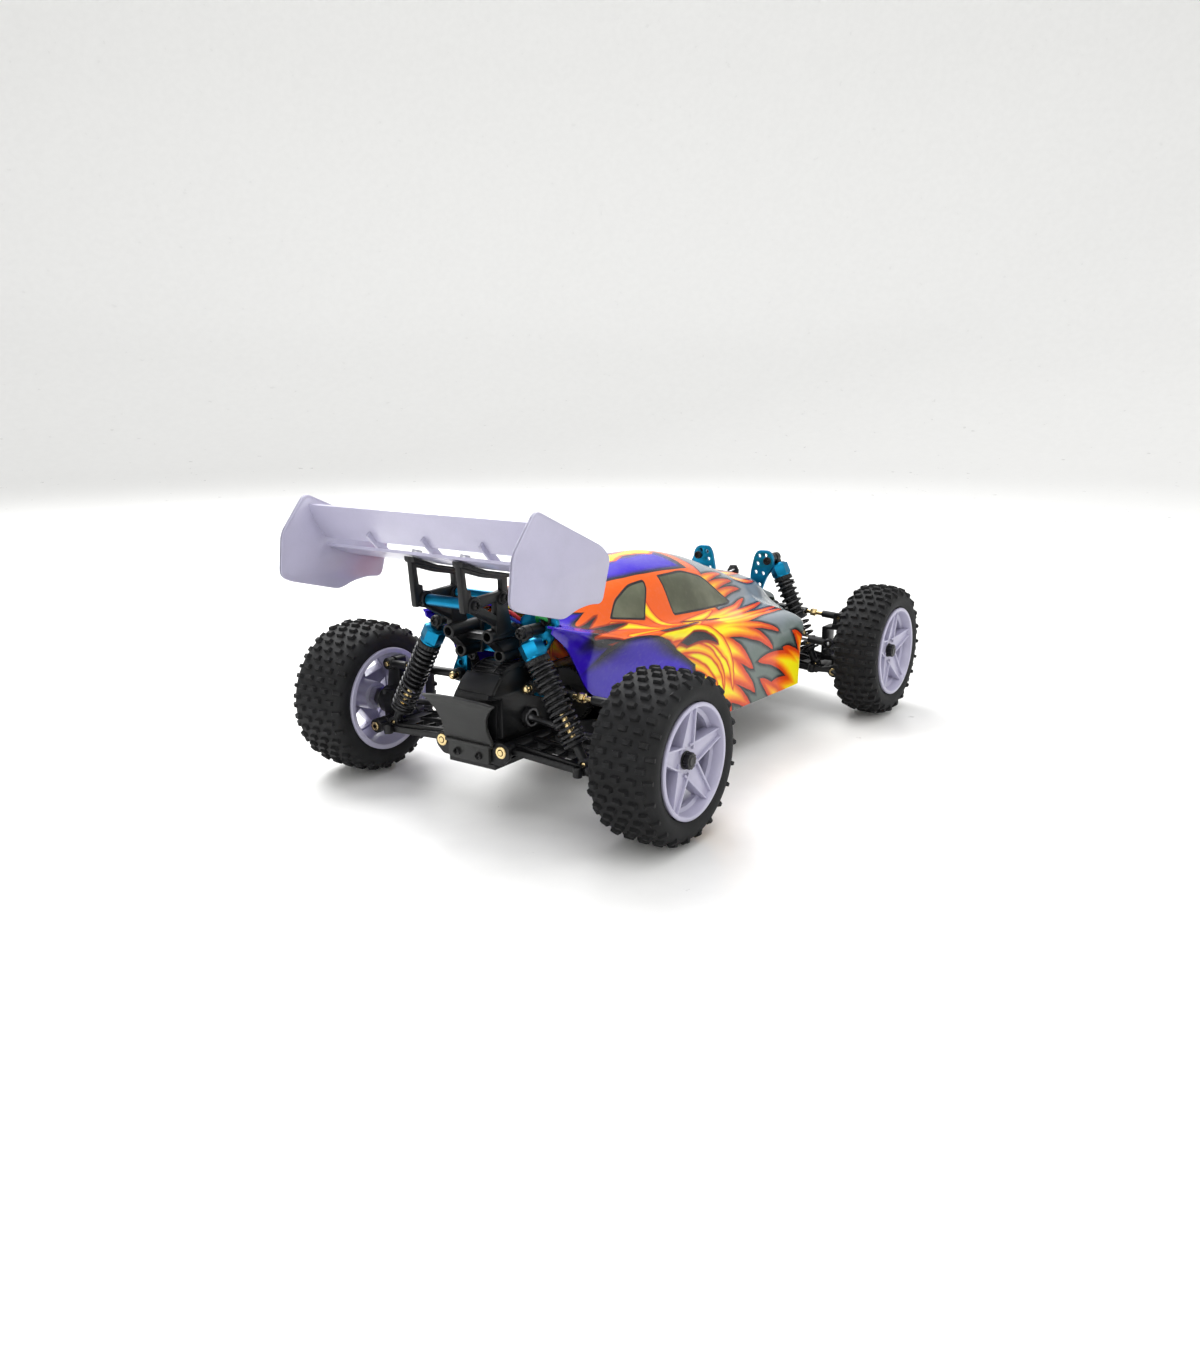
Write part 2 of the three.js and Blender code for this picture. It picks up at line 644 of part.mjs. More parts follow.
function chassis() {
  const half = [
    [-164, 15.8], [-114, 15.8], [-104, 30], [-86, 48], [-64, 54], [60, 54], [84, 44], [104, 24],
    [112, 15.8], [164, 15.8],
  ];
  const whole = [...half, ...half.map(([x, y]) => [x, -y]).reverse()];
  const inner = [[-116, 13.2], [-103, 27.4], [-85, 45.6], [-63.4, 51.4], [59.4, 51.4], [83, 41.6],
    [102.6, 21.8], [114, 13.2]];
  const well = [...inner, ...inner.map(([x, y]) => [x, -y]).reverse()];
  const floor = prism('z', whole, FLOOR_BOTTOM, FLOOR_TOP);
  const middle = prism('z', half.slice(1, -1).concat(
    half.slice(1, -1).map(([x, y]) => [x, -y]).reverse()), FLOOR_BOTTOM, 41);
  const ends = block([-120, 120], [-13.2, 13.2], [FLOOR_TOP, 60]);
  const tub = cut(middle, prism('z', well, FLOOR_TOP, 60), ends);
  const bridge = join(
    block([98, 103], [-10.5, -7], [FLOOR_TOP - 1, 51.1]),
    block([98, 103], [7, 10.5], [FLOOR_TOP - 1, 51.1]),
    block([98, 109.2], [-10.5, 10.5], [48.8, 51.2]),
  );
  return join(floor, tub, bridge);
}

function frontBumper() {
  const outline = [
    [165.4, -26], [172, -28], [177.5, -18], [179, 0], [177.5, 18], [172, 28], [165.4, 26],
  ];
  const plate = prism('z', outline, 29.6, 33.4);
  const guard = prism('z', [
    [173.4, -22], [177.2, -17], [178.4, 0], [177.2, 17], [173.4, 22], [171, 20], [174, 0], [171, -20],
  ], 32, 46);
  return join(plate, guard);
}

// The rear bumper: a shield with hollowed sides that leans back, on a foot at the hinge plate.
function rearBumper() {
  const half = [[0, 0], [16.8, 0], [15.6, 7], [17.6, 16], [24.9, 25.4], [0, 25.4]];
  const shield = prism('x', symmetric(half), 0, 2.4, 1);
  const geometry = toGeometry(shield);
  geometry.rotateY(-THREE.MathUtils.degToRad(18.4));
  geometry.translate(-166.6, 0, 39.6);
  return join(
    toSolid(geometry),
    block([-167, -164.4], [-14, 14], [29.6, 41]),
  );
}

// The wing: a raised flap behind a lower plane, three fins across the slot, and two end plates.
function rearWing() {
  const flap = prism('y', [
    [-199, 162], [-196, 155.6], [-192.4, 149.4], [-188.2, 144.2], [-186.4, 145.6],
    [-190.2, 150.6], [-193.8, 156.4], [-197, 162.6],
  ], -WING_HALF_SPAN, WING_HALF_SPAN);
  const plane = prism('y', [
    [-188, 139.5], [-178, 135.6], [-165, 131.8], [-152, 129.2], [-149.6, 130.8], [-153, 132.6],
    [-166, 135.2], [-178, 138.6], [-188, 141.6],
  ], -WING_HALF_SPAN, WING_HALF_SPAN);
  const fin = (y) => prism('y', [
    [-195.4, 148], [-192.4, 150.4], [-186.6, 146.4], [-178, 138], [-186, 138.6],
  ], y - 0.9, y + 0.9);
  const plateOutline = [
    [-200.7, 168.3], [-217, 149.4], [-220, 128], [-214, 124.6], [-181.6, 115.8], [-171, 119.1],
    [-160.3, 119.9], [-150.8, 118.6], [-143.5, 140.1], [-150.5, 146.5],
  ];
  const plate = (side) => prism('y', plateOutline,
    side * WING_HALF_SPAN - 0.9, side * WING_HALF_SPAN + 0.9, 3);
  return join(flap, plane, fin(0), fin(37), fin(-37), bothSides(plate));
}

// The wing mount: two window frames on struts, and two double tubes that meet the tower.
function wingMount() {
  const side = (s) => {
    const frame = cut(
      prism('y', [[-187.6, 138.9], [-185.4, 112.5], [-152, 116], [-152, 128.6], [-170, 132.6]],
        s * 16 - 1.6, s * 16 + 1.6),
      prism('y', [[-183.4, 132.8], [-181.4, 119], [-156.4, 120], [-156.4, 125.8], [-170, 128.6]],
        s * 16 - 3, s * 16 + 3),
    );
    const tubes = join(
      rod('x', [0, s * 13.2, 97], 3.7, -164.3, -140.4, 10),
      rod('x', [0, s * 13.2, 85.4], 3.7, -155.4, -140.4, 10),
      prism('y', [[-162, 97], [-155, 85.4], [-140.4, 85.4], [-140.4, 97]],
        s * 13.2 - 3, s * 13.2 + 3),
      prism('y', [[-158, 98], [-166, 116], [-158, 117.4], [-148, 98]], s * 15 - 2, s * 15 + 2),
      prism('y', [[-147, 99], [-178, 114], [-174, 115.4], [-141.4, 99]], s * 15 - 1.4, s * 15 + 1.4),
    );
    const bores = join(
      rod('x', [0, s * 13.2, 97], 2.3, -165, -143, 8),
      rod('x', [0, s * 13.2, 85.4], 2.3, -157, -143, 8),
    );
    return cut(join(frame, tubes), bores);
  };
  return join(
    bothSides(side),
    rod('y', [-178, 0, 116], 1.8, -15, 15, 8),
    block([-154, -147], [-12, 12], [92, 95]),
  );
}

// ---- Body shell -------------------------------------------------------------------------

const SHELL_WALL = 1.2;
// Stations along x. Each lists the crown height, then [y, z] of the roof edge, the cabin base,
// the waist ridge, the middle of the side and the lower edge.
const SHELL_STATIONS = [
  [-149, 104, [20, 104], [33, 103.8], [44.5, 103], [44, 101], [43.5, 99]],
  [-134.5, 107, [22, 106], [36, 101], [47, 98.5], [43, 94], [41.5, 88.5]],
  [-117, 110, [24, 108], [39, 97], [50, 93], [45.5, 78], [44.5, 61]],
  [-87, 115.5, [27, 111.5], [42, 91.5], [55, 86.5], [47.5, 70], [48.5, 49]],
  [-60, 118.8, [29, 113], [44, 89.5], [58, 86], [53, 66], [55, 42]],
  [-38, 121.2, [31, 113.6], [45, 88.5], [60.5, 85.5], [60, 62], [61, 37]],
  [-8, 121, [32, 112], [45.5, 87.5], [64, 82], [68, 58], [70, 30]],
  [27, 115.4, [31, 106.5], [44, 86], [67.5, 78.5], [71.5, 55], [72, 30]],
  [49, 108, [29.5, 101.5], [42.5, 84.5], [70.5, 76], [73.4, 54], [73.4, 30]],
  [73, 98.6, [28, 94.6], [41, 82.5], [73.5, 73.4], [74.6, 52], [74.2, 30]],
  [80, 97.8, [27, 93.2], [40, 81], [71, 72], [70, 60], [69, 46]],
  [93, 96.2, [26, 91], [38, 79], [62, 69.6], [60, 65], [58, 60]],
  [104, 93.6, [24, 89], [35, 77], [50, 69.4], [49, 67.5], [48, 66]],
  [112, 90.4, [20, 87], [33, 75.6], [45, 69], [44.4, 67.6], [44, 66.4]],
  [115, 89.2, [5, 89], [8.5, 88], [11, 86], [12, 83], [12.4, 80.6]],
  [125, 85.8, [5, 85.6], [8.5, 85], [11, 83.6], [12, 81.4], [12.4, 80]],
  [132, 80.5, [7, 80.3], [13, 79.4], [17.5, 78], [18.8, 75.4], [19, 73]],
  [145, 75, [8, 74.8], [13.5, 74], [17.8, 73], [18.8, 71.6], [19, 70.4]],
  [153, 67, [8, 66.8], [13, 66], [16.6, 64], [17.4, 61], [17.6, 58]],
  [160, 58, [7.5, 57.8], [12, 57], [15, 55.4], [16, 52], [16.2, 49]],
  [165, 49, [7, 48.8], [10.5, 48], [13.4, 46.8], [14.2, 44], [14.4, 42]],
];

// A shell skin over the stations: outer and inner sheets joined along the open edges.
function bodyShell() {
  const rows = SHELL_STATIONS.map(([x, crown, ...half]) => {
    const right = half.map(([y, z]) => new THREE.Vector3(x, -y, z)).reverse();
    const left = half.map(([y, z]) => new THREE.Vector3(x, y, z));
    return [...right, new THREE.Vector3(x, 0, crown), ...left];
  });
  const columns = rows[0].length;
  const normalAt = (i, j) => {
    const along = rows[Math.min(i + 1, rows.length - 1)][j].clone().sub(rows[Math.max(i - 1, 0)][j]);
    const across = rows[i][Math.min(j + 1, columns - 1)].clone().sub(rows[i][Math.max(j - 1, 0)]);
    return along.cross(across).normalize();
  };
  const outer = rows.flat();
  const inner = rows.flatMap((row, i) => row.map((point, j) => (
    point.clone().addScaledVector(normalAt(i, j), -SHELL_WALL))));
  const points = [...outer, ...inner];
  const offset = outer.length;
  const triangles = [];
  const quad = (a, b, c, d) => triangles.push(a, b, c, a, c, d);
  for (let i = 0; i + 1 < rows.length; i += 1) {
    for (let j = 0; j + 1 < columns; j += 1) {
      const a = i * columns + j;
      const b = a + columns;
      quad(a, b, b + 1, a + 1);
      quad(offset + a, offset + a + 1, offset + b + 1, offset + b);
    }
    const first = i * columns;
    const last = first + columns - 1;
    quad(first, offset + first, offset + first + columns, first + columns);
    quad(last, last + columns, offset + last + columns, offset + last);
  }
  const end = (rows.length - 1) * columns;
  for (let j = 0; j + 1 < columns; j += 1) {
    quad(j, j + 1, offset + j + 1, offset + j);
    quad(end + j, offset + end + j, offset + end + j + 1, end + j + 1);
  }
  const geometry = new THREE.BufferGeometry();
  geometry.setAttribute('position', new THREE.Float32BufferAttribute(
    points.flatMap((point) => point.toArray()), 3));
  geometry.setIndex(triangles);
  return cut(
    toSolid(geometry),
    block([-160, -133.5], [-40.4, 40.4], [60, 130]),
    rod('z', [118, 0, 0], 3.2, 70, 100, 8),
    rod('z', [-131, 0, 0], 3.2, 90, 120, 8),
  );
}

// ---- Drive train and electrics ----------------------------------------------------------

function motor() {
  const back = SPUR_X + 8;
  return join(
    rod('x', [0, MOTOR_Y, MOTOR_Z], 17.4, back + 2, back + 56, 14),
    rod('x', [0, MOTOR_Y, MOTOR_Z], 6, back, back + 60, 8),
  );
}

function pinion() {
  return rod('x', [0, MOTOR_Y, MOTOR_Z], PINION_RADIUS, SPUR_X - 3, SPUR_X + 4, 10);
}

function centreShaft() {
  const from = REAR.axleX + 25.6;
  const to = FRONT.axleX - 25.6;
  return join(
    rod('x', [0, 0, DRIVE_Z], 2.4, from, to, 8),
    rod('x', [0, 0, DRIVE_Z], SPUR_RADIUS - 0.2, SPUR_X - 2.5, SPUR_X + 2.5, 24),
    rod('x', [0, 0, DRIVE_Z], 6, SPUR_X - 6, SPUR_X + 6, 8),
  );
}

function batteryPack() {
  const low = FLOOR_TOP + GAP;
  const cells = [];
  for (let i = 0; i < 2; i += 1) {
    cells.push(rod('x', [0, 18.5 + i * 20.5, low + 11.2], 11.2, -62, 58, 10));
  }
  return join(...cells, block([-62, 58], [14, 46], [low, low + 21]));
}

function steeringServo() {
  const low = FLOOR_TOP + GAP;
  return join(
    block([44, 84], [-36, -16], [low, low + 36]),
    block([37, 91], [-36, -16], [low + 26, low + 28.5]),
    rod('z', [74, -26, 0], 5, low + 35, low + 38, 8),
  );
}

// ---- Assembly ---------------------------------------------------------------------------

for (const end of [REAR, FRONT]) {
  for (const side of [1, -1]) addCorner(end, side);
}
for (const side of [1, -1]) addTieRod(side);
addPart(buggy, 'steering_rack', steeringRack(), 'black_plastic');
addPart(buggy, 'steering_servo', steeringServo(), 'black_plastic');
addPart(buggy, 'chassis', chassis(), 'black_plastic');
addPart(buggy, 'rear_gearbox', rearGearbox(), 'black_plastic');
addPart(buggy, 'front_gearbox', frontGearbox(), 'black_plastic');
addPart(buggy, 'rear_shock_tower', rearTower(), 'blue_metal');
addPart(buggy, 'front_shock_tower', frontTower(), 'blue_metal');
addPart(buggy, 'front_bumper', frontBumper(), 'black_plastic');
addPart(buggy, 'rear_bumper', rearBumper(), 'grey_plastic');
addPart(buggy, 'wing_mount', wingMount(), 'black_plastic');
addPart(buggy, 'rear_wing', rearWing(), 'lavender');
addPart(buggy, 'body_shell', bodyShell(), 'shell');
addPart(buggy, 'motor', motor(), 'steel');
addPart(buggy, 'motor_pinion', pinion(), 'steel');
addPart(buggy, 'centre_shaft', centreShaft(), 'gear');
addPart(buggy, 'battery_pack', batteryPack(), 'battery');

export default buggy;
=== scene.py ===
"""Looks of a 1/10 scale electric buggy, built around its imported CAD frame.

Forms are drawn in millimetres about the middle of the wheelbase: +X forward, +Y left, +Z up.
What is the same at both sides is drawn once, on the left, and mirrored.
"""

import json
import math

import bmesh
import bpy
from mathutils import Matrix, Vector


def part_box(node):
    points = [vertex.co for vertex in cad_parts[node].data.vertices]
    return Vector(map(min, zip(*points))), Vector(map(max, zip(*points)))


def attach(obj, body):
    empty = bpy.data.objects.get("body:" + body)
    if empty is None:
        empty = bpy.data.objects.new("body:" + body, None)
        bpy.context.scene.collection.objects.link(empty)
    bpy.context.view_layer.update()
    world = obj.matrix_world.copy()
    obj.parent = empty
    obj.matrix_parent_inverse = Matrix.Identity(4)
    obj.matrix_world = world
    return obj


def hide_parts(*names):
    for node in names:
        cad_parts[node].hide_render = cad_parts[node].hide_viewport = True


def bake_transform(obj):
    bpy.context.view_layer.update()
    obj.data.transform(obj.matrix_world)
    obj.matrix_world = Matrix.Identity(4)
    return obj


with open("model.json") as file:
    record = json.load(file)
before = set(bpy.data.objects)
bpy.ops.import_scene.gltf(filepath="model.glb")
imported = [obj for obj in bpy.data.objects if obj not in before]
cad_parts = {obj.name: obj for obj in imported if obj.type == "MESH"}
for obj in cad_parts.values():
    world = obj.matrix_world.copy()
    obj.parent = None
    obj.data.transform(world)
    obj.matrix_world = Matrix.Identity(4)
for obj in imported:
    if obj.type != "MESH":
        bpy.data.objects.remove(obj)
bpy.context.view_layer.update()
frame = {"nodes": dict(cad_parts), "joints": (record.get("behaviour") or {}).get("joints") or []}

MM = 0.001
PIVOTS = {j["name"]: Vector(j["pos_m"]) / MM for j in frame["joints"] if "pos_m" in j}
MID_X = (PIVOTS["rear_left_suspension"].x + PIVOTS["front_left_suspension"].x) / 2
TO_ROW = Matrix.Scale(MM, 4) @ Matrix.Translation((MID_X, 0, 0))
MIRROR = Matrix.Diagonal((1, -1, 1, 1))
TAU = 2 * math.pi

# ---- Camera, floor and light ---------------------------------------------------------------

CAMERA_AZIMUTH = -54.81
CAMERA_ELEVATION = 14.92
CAMERA_ROLL = -0.35
CAMERA_PLACE = (-593.6, -385.8, 221.9)
CAMERA_LENS = 30.02


def add_camera():
    """A camera behind and to the right of the buggy, a little higher than its wing."""
    azimuth, elevation, roll = map(
        math.radians, (CAMERA_AZIMUTH, CAMERA_ELEVATION, CAMERA_ROLL))
    back = Vector((math.sin(azimuth) * math.cos(elevation),
                   -math.cos(azimuth) * math.cos(elevation), math.sin(elevation)))
    level = (-back).cross(Vector((0, 0, 1))).normalized()
    upright = level.cross(-back)
    right = level * math.cos(roll) + upright * math.sin(roll)
    up = upright * math.cos(roll) - level * math.sin(roll)
    data = bpy.data.cameras.new("camera")
    data.lens = CAMERA_LENS
    data.clip_start = 0.01
    camera = bpy.data.objects.new("camera", data)
    bpy.context.scene.collection.objects.link(camera)
    turn = Matrix((right, up, back)).transposed().to_4x4()
    camera.matrix_world = Matrix.Translation(TO_ROW @ Vector(CAMERA_PLACE)) @ turn
    bpy.context.scene.camera = camera


def add_light(name, place, aim, power, size=None):
    """A softbox of a size in metres or, without one, a very soft sun."""
    data = bpy.data.lights.new(name, "AREA" if size else "SUN")
    if size:
        data.shape = "RECTANGLE"
        data.size, data.size_y = size
    else:
        data.angle = math.radians(80)
    data.energy = power
    light = bpy.data.objects.new(name, data)
    bpy.context.scene.collection.objects.link(light)
    light.location = place
    light.rotation_euler = (Vector(aim) - Vector(place)).to_track_quat("-Z", "Y").to_euler()


def add_studio():
    world = bpy.data.worlds.new("studio")
    world.use_nodes = True
    background = world.node_tree.nodes["Background"]
    background.inputs["Color"].default_value = (1, 1, 1, 1)
    background.inputs["Strength"].default_value = 0.55
    bpy.context.scene.world = world
    bpy.context.scene.view_settings.view_transform = "Standard"
    add_light("key", (0.35, 0.85, 1.15), (0, 0, 0), 30, (1.3, 1.0))
    add_light("overhead", (-0.2, -0.1, 1.4), (0, 0, 0), 7, (1.2, 1.0))
    add_light("rear_softbox", (-1.3, -0.3, 0.5), (-0.05, 0, 0.06), 3, (0.8, 0.5))
    add_light("right_softbox", (0.5, -1.3, 0.55), (0.05, 0, 0.06), 3, (0.9, 0.5))
    add_light("room", (-0.8, -0.5, 1.2), (0, 0, 0), 0.9)


def add_floor():
    """A pale floor that curves up into a wall all round."""
    flat, curve, height = 2.2, 1.2, 2.4
    profile = [(0, 0), (flat, 0)]
    for k in range(1, 13):
        turn = math.pi / 2 * k / 12
        profile.append((flat + curve * math.sin(turn), curve * (1 - math.cos(turn))))
    profile.append((flat + curve, height))
    steps = 96
    points = [(r * math.cos(TAU * k / steps), r * math.sin(TAU * k / steps), z)
              for k in range(steps) for r, z in profile]
    count = len(profile)
    faces = [(k * count + i, (k + 1) % steps * count + i, (k + 1) % steps * count + i + 1,
              k * count + i + 1) for k in range(steps) for i in range(count - 1)]
    mesh = bpy.data.meshes.new("floor")
    mesh.from_pydata(points, [], faces)
    mesh.shade_smooth()
    mesh.materials.append(finish_of("floor", (0.88, 0.88, 0.87), 0.3, tint=0.01, grain=40,
                                    grain_mm=0.0))
    floor = bpy.data.objects.new("floor", mesh)
    bpy.context.scene.collection.objects.link(floor)
    floor.location.z = -0.0003


# ---- Materials -----------------------------------------------------------------------------


class Field:
    """A number that varies over a surface, made of shader nodes."""

    def __init__(self, tree, socket):
        self.tree = tree
        self.socket = socket

    def math(self, operation, *values):
        node = self.tree.nodes.new("ShaderNodeMath")
        node.operation = operation
        for socket, value in zip(node.inputs, values):
            if isinstance(value, Field):
                self.tree.links.new(value.socket, socket)
            else:
                socket.default_value = value
        return Field(self.tree, node.outputs[0])

    def __add__(self, other):
        return self.math("ADD", self, other)

    def __radd__(self, other):
        return self.math("ADD", other, self)

    def __sub__(self, other):
        return self.math("SUBTRACT", self, other)

    def __rsub__(self, other):
        return self.math("SUBTRACT", other, self)

    def __mul__(self, other):
        return self.math("MULTIPLY", self, other)

    def __rmul__(self, other):
        return self.math("MULTIPLY", other, self)

    def __truediv__(self, other):
        return self.math("DIVIDE", self, other)

    def abs(self):
        return self.math("ABSOLUTE", self)

    def most(self, other):
        return self.math("MAXIMUM", self, other)

    def least(self, other):
        return self.math("MINIMUM", self, other)

    def power(self, exponent):
        return self.math("POWER", self, exponent)

    def between(self, low, high):
        """0 below low, 1 above high, and a smooth step between them."""
        node = self.tree.nodes.new("ShaderNodeMapRange")
        node.interpolation_type = "SMOOTHSTEP"
        self.tree.links.new(self.socket, node.inputs["Value"])
        node.inputs["From Min"].default_value = low
        node.inputs["From Max"].default_value = high
        return Field(self.tree, node.outputs["Result"])

    def spikes(self, pitch, sharpness=1.4):
        """A row of pointed tongues, 0 between them and 1 at their tips."""
        wave = self.math("PINGPONG", self, pitch / 2)
        return (wave / (pitch / 2)).power(sharpness)


def surface_point(tree):
    """x, y and z of the surface in millimetres of the row frame, as three fields."""
    place = tree.nodes.new("ShaderNodeTexCoord")
    parts = tree.nodes.new("ShaderNodeSeparateXYZ")
    tree.links.new(place.outputs["Object"], parts.inputs[0])
    return [Field(tree, parts.outputs[i]) / MM for i in range(3)]


def noise_field(tree, grains_per_metre, detail=3.0, stretch=(1, 1, 1), shift=0.0):
    place = tree.nodes.new("ShaderNodeTexCoord")
    mapping = tree.nodes.new("ShaderNodeMapping")
    mapping.inputs["Scale"].default_value = stretch
    mapping.inputs["Location"].default_value = (shift, shift, shift)
    noise = tree.nodes.new("ShaderNodeTexNoise")
    noise.inputs["Scale"].default_value = grains_per_metre
    noise.inputs["Detail"].default_value = detail
    tree.links.new(place.outputs["Object"], mapping.inputs["Vector"])
    tree.links.new(mapping.outputs["Vector"], noise.inputs["Vector"])
    return Field(tree, noise.outputs["Fac"])


def blended(tree, factor, low, high):
    """A colour that goes from low to high as the factor goes from 0 to 1."""
    node = tree.nodes.new("ShaderNodeMix")
    node.data_type = "RGBA"
    tree.links.new(factor.socket, node.inputs["Factor"])
    for value, socket in ((low, node.inputs["A"]), (high, node.inputs["B"])):
        if isinstance(value, bpy.types.NodeSocket):
            tree.links.new(value, socket)
        else:
            socket.default_value = (*value, 1)
    return node.outputs["Result"]


def new_material(name):
    material = bpy.data.materials.new(name)
    material.use_nodes = True
    tree = material.node_tree
    return material, tree, tree.nodes["Principled BSDF"]


def add_bump(tree, shader, height, distance_mm, strength=1.0):
    bump = tree.nodes.new("ShaderNodeBump")
    bump.inputs["Strength"].default_value = strength
    bump.inputs["Distance"].default_value = distance_mm * MM
    tree.links.new(height.socket, bump.inputs["Height"])
    tree.links.new(bump.outputs["Normal"], shader.inputs["Normal"])


def finish_of(name, colour, roughness, metal=0.0, tint=0.12, spread=0.08, grain=2500,
              grain_mm=0.02, stretch=(1, 1, 1), coat=0.0, dust=None, gloss=0.5):
    """A worn, grained finish: colour and roughness drift over it, and its grain is a fine bump."""
    material, tree, shader = new_material(name)
    drift = noise_field(tree, 60, 4.0)
    fine = noise_field(tree, grain, 4.0, stretch)
    dark = tuple(c * (1 - tint) for c in colour)
    light = tuple(min(1, c * (1 + tint)) for c in colour)
    shade = blended(tree, (drift + fine * 0.3 - 0.15).between(0.3, 0.7), dark, light)
    if dust:
        dusty = noise_field(tree, 140, 6.0, shift=3.0).between(0.52, 0.8) * 0.35
        shade = blended(tree, dusty, shade, dust)
    tree.links.new(shade, shader.inputs["Base Color"])
    rough = fine * spread + drift * spread + (roughness - spread)
    tree.links.new(rough.socket, shader.inputs["Roughness"])
    shader.inputs["Metallic"].default_value = metal
    shader.inputs["Specular IOR Level"].default_value = gloss
    shader.inputs["Coat Weight"].default_value = coat
    shader.inputs["Coat Roughness"].default_value = 0.12
    add_bump(tree, shader, fine, grain_mm)
    return material


ORANGE = (0.78, 0.105, 0.002)
DEEP_ORANGE = (0.6, 0.042, 0.002)
AMBER = (0.88, 0.3, 0.003)
YELLOW = (0.86, 0.74, 0.006)
OXBLOOD = (0.3, 0.022, 0.002)
VIOLET = (0.03, 0.005, 0.46)
SLATE = (0.11, 0.145, 0.13)
STORM = (0.2, 0.23, 0.265)
INK = (0.009, 0.009, 0.012)
SMOKE = (0.06, 0.066, 0.038)
SMOKE_LIGHT = (0.14, 0.155, 0.1)


def window_depth(x, z, corners, softness=2.0):
    """How far inside a convex window a point is, in millimetres, seen from the side."""
    depth = None
    for i, (x0, z0) in enumerate(corners):
        x1, z1 = corners[(i + 1) % len(corners)]
        length = math.hypot(x1 - x0, z1 - z0)
        across = (x - x0) * ((z1 - z0) / length) + (z - z0) * ((x0 - x1) / length)
        depth = across if depth is None else depth.math("SMOOTH_MIN", depth, across, softness)
    return depth


# Corners of the windows as (x, z) on the side, clockwise seen from the right of the buggy.
REAR_WINDOW = [(-93, 96), (-81, 106), (-64, 112), (-47.5, 113), (-48, 108), (-61, 90.5)]
FRONT_WINDOW = [(-36, 113.5), (-8, 113), (12, 107), (40, 86.5), (33, 84.8), (-34, 88.8)]

# Painted tongues as (root, tip, half width, bend) in the shell's chart: x forward, and the girth
# from the crown down to the lower edge, in millimetres.
SIDE_TONGUES = [
    ((-16, 80), (37, 107), 6, -6), ((-12, 78), (44, 98), 4, -5), ((-22, 90), (15, 113), 9, -3),
    ((-24, 100), (17, 130), 9, -3), ((-20, 116), (14, 141), 7, -2), ((-6, 63), (57, 50), 4.5, 3),
    ((0, 65), (71, 59), 4.5, 3), ((0, 71), (74, 71), 4, 2), ((2, 75), (72, 77), 3.4, 1),
]
BONNET_TONGUES = [
    ((4, 31), (44, 22), 4.5, -2), ((10, 39), (53, 31), 5, -3), ((14, 47), (60, 39), 5, -3),
    ((66, 24), (98, 31), 5, 2), ((66, 10), (104, 13), 6, 2), ((66, 0), (110, 0), 6, 0),
]
CORNER_TONGUES = [
    ((72, 133), (23, 111), 9, 4), ((52, 152), (24, 124), 7, 2), ((78, 134), (52, 111), 7, 3),
    ((80, 123), (61, 103), 4.5, 2), ((76, 148), (38, 130), 11, 1),
]
YELLOW_WISPS = [
    ((-58, 37), (-36, 66), 3.6, 3), ((-90, 44), (-53, 62), 3.6, -3), ((-86, 58), (-50, 63.5), 1.6, -1),
    ((-30, 63), (6, 55), 5, 0), ((-46, 70), (-6, 120), 6, -12), ((-54, 83), (-20, 114), 2.6, -5),
    ((-48, 79), (-14, 117), 2, -9),
]
DARK_WISPS = [
    ((-130, 41), (-101, 32), 4, 1), ((-138, 47), (-79, 44), 6, -1), ((-138, 54), (-100, 60), 3.5, -2),
    ((-40, 76), (-19, 87), 3.4, -2), ((-30, 61), (-4, 67), 1.4, 1), ((-60, 64), (-30, 66), 1.2, 1),
]


def tongue(x, girth, root, tip, width, bend):
    """How far inside a painted tongue a point is, and the same for its shorter, thinner core."""
    length = math.hypot(tip[0] - root[0], tip[1] - root[1])
    ux, ug = (tip[0] - root[0]) / length, (tip[1] - root[1]) / length
    along = (x - root[0]) * (ux / length) + (girth - root[1]) * (ug / length)
    across = (girth - root[1]) * ux - (x - root[0]) * ug - along * (1 - along) * (4 * bend)
    taper = (1 - along).most(0.0).power(0.72) * width
    outside = (along - 1).most(0.0) + (along * -1 - 0.08).most(0.0)
    depth = taper - across.abs() - outside * (length * 0.6)
    return depth, depth - along.most(0.0) * (width * 0.6)


def tongues(x, girth, shapes):
    """The union of painted tongues, and of their cores."""
    depth, core = tongue(x, girth, *shapes[0])
    for shape in shapes[1:]:
        next_depth, next_core = tongue(x, girth, *shape)
        depth, core = depth.most(next_depth), core.most(next_core)
    return depth, core


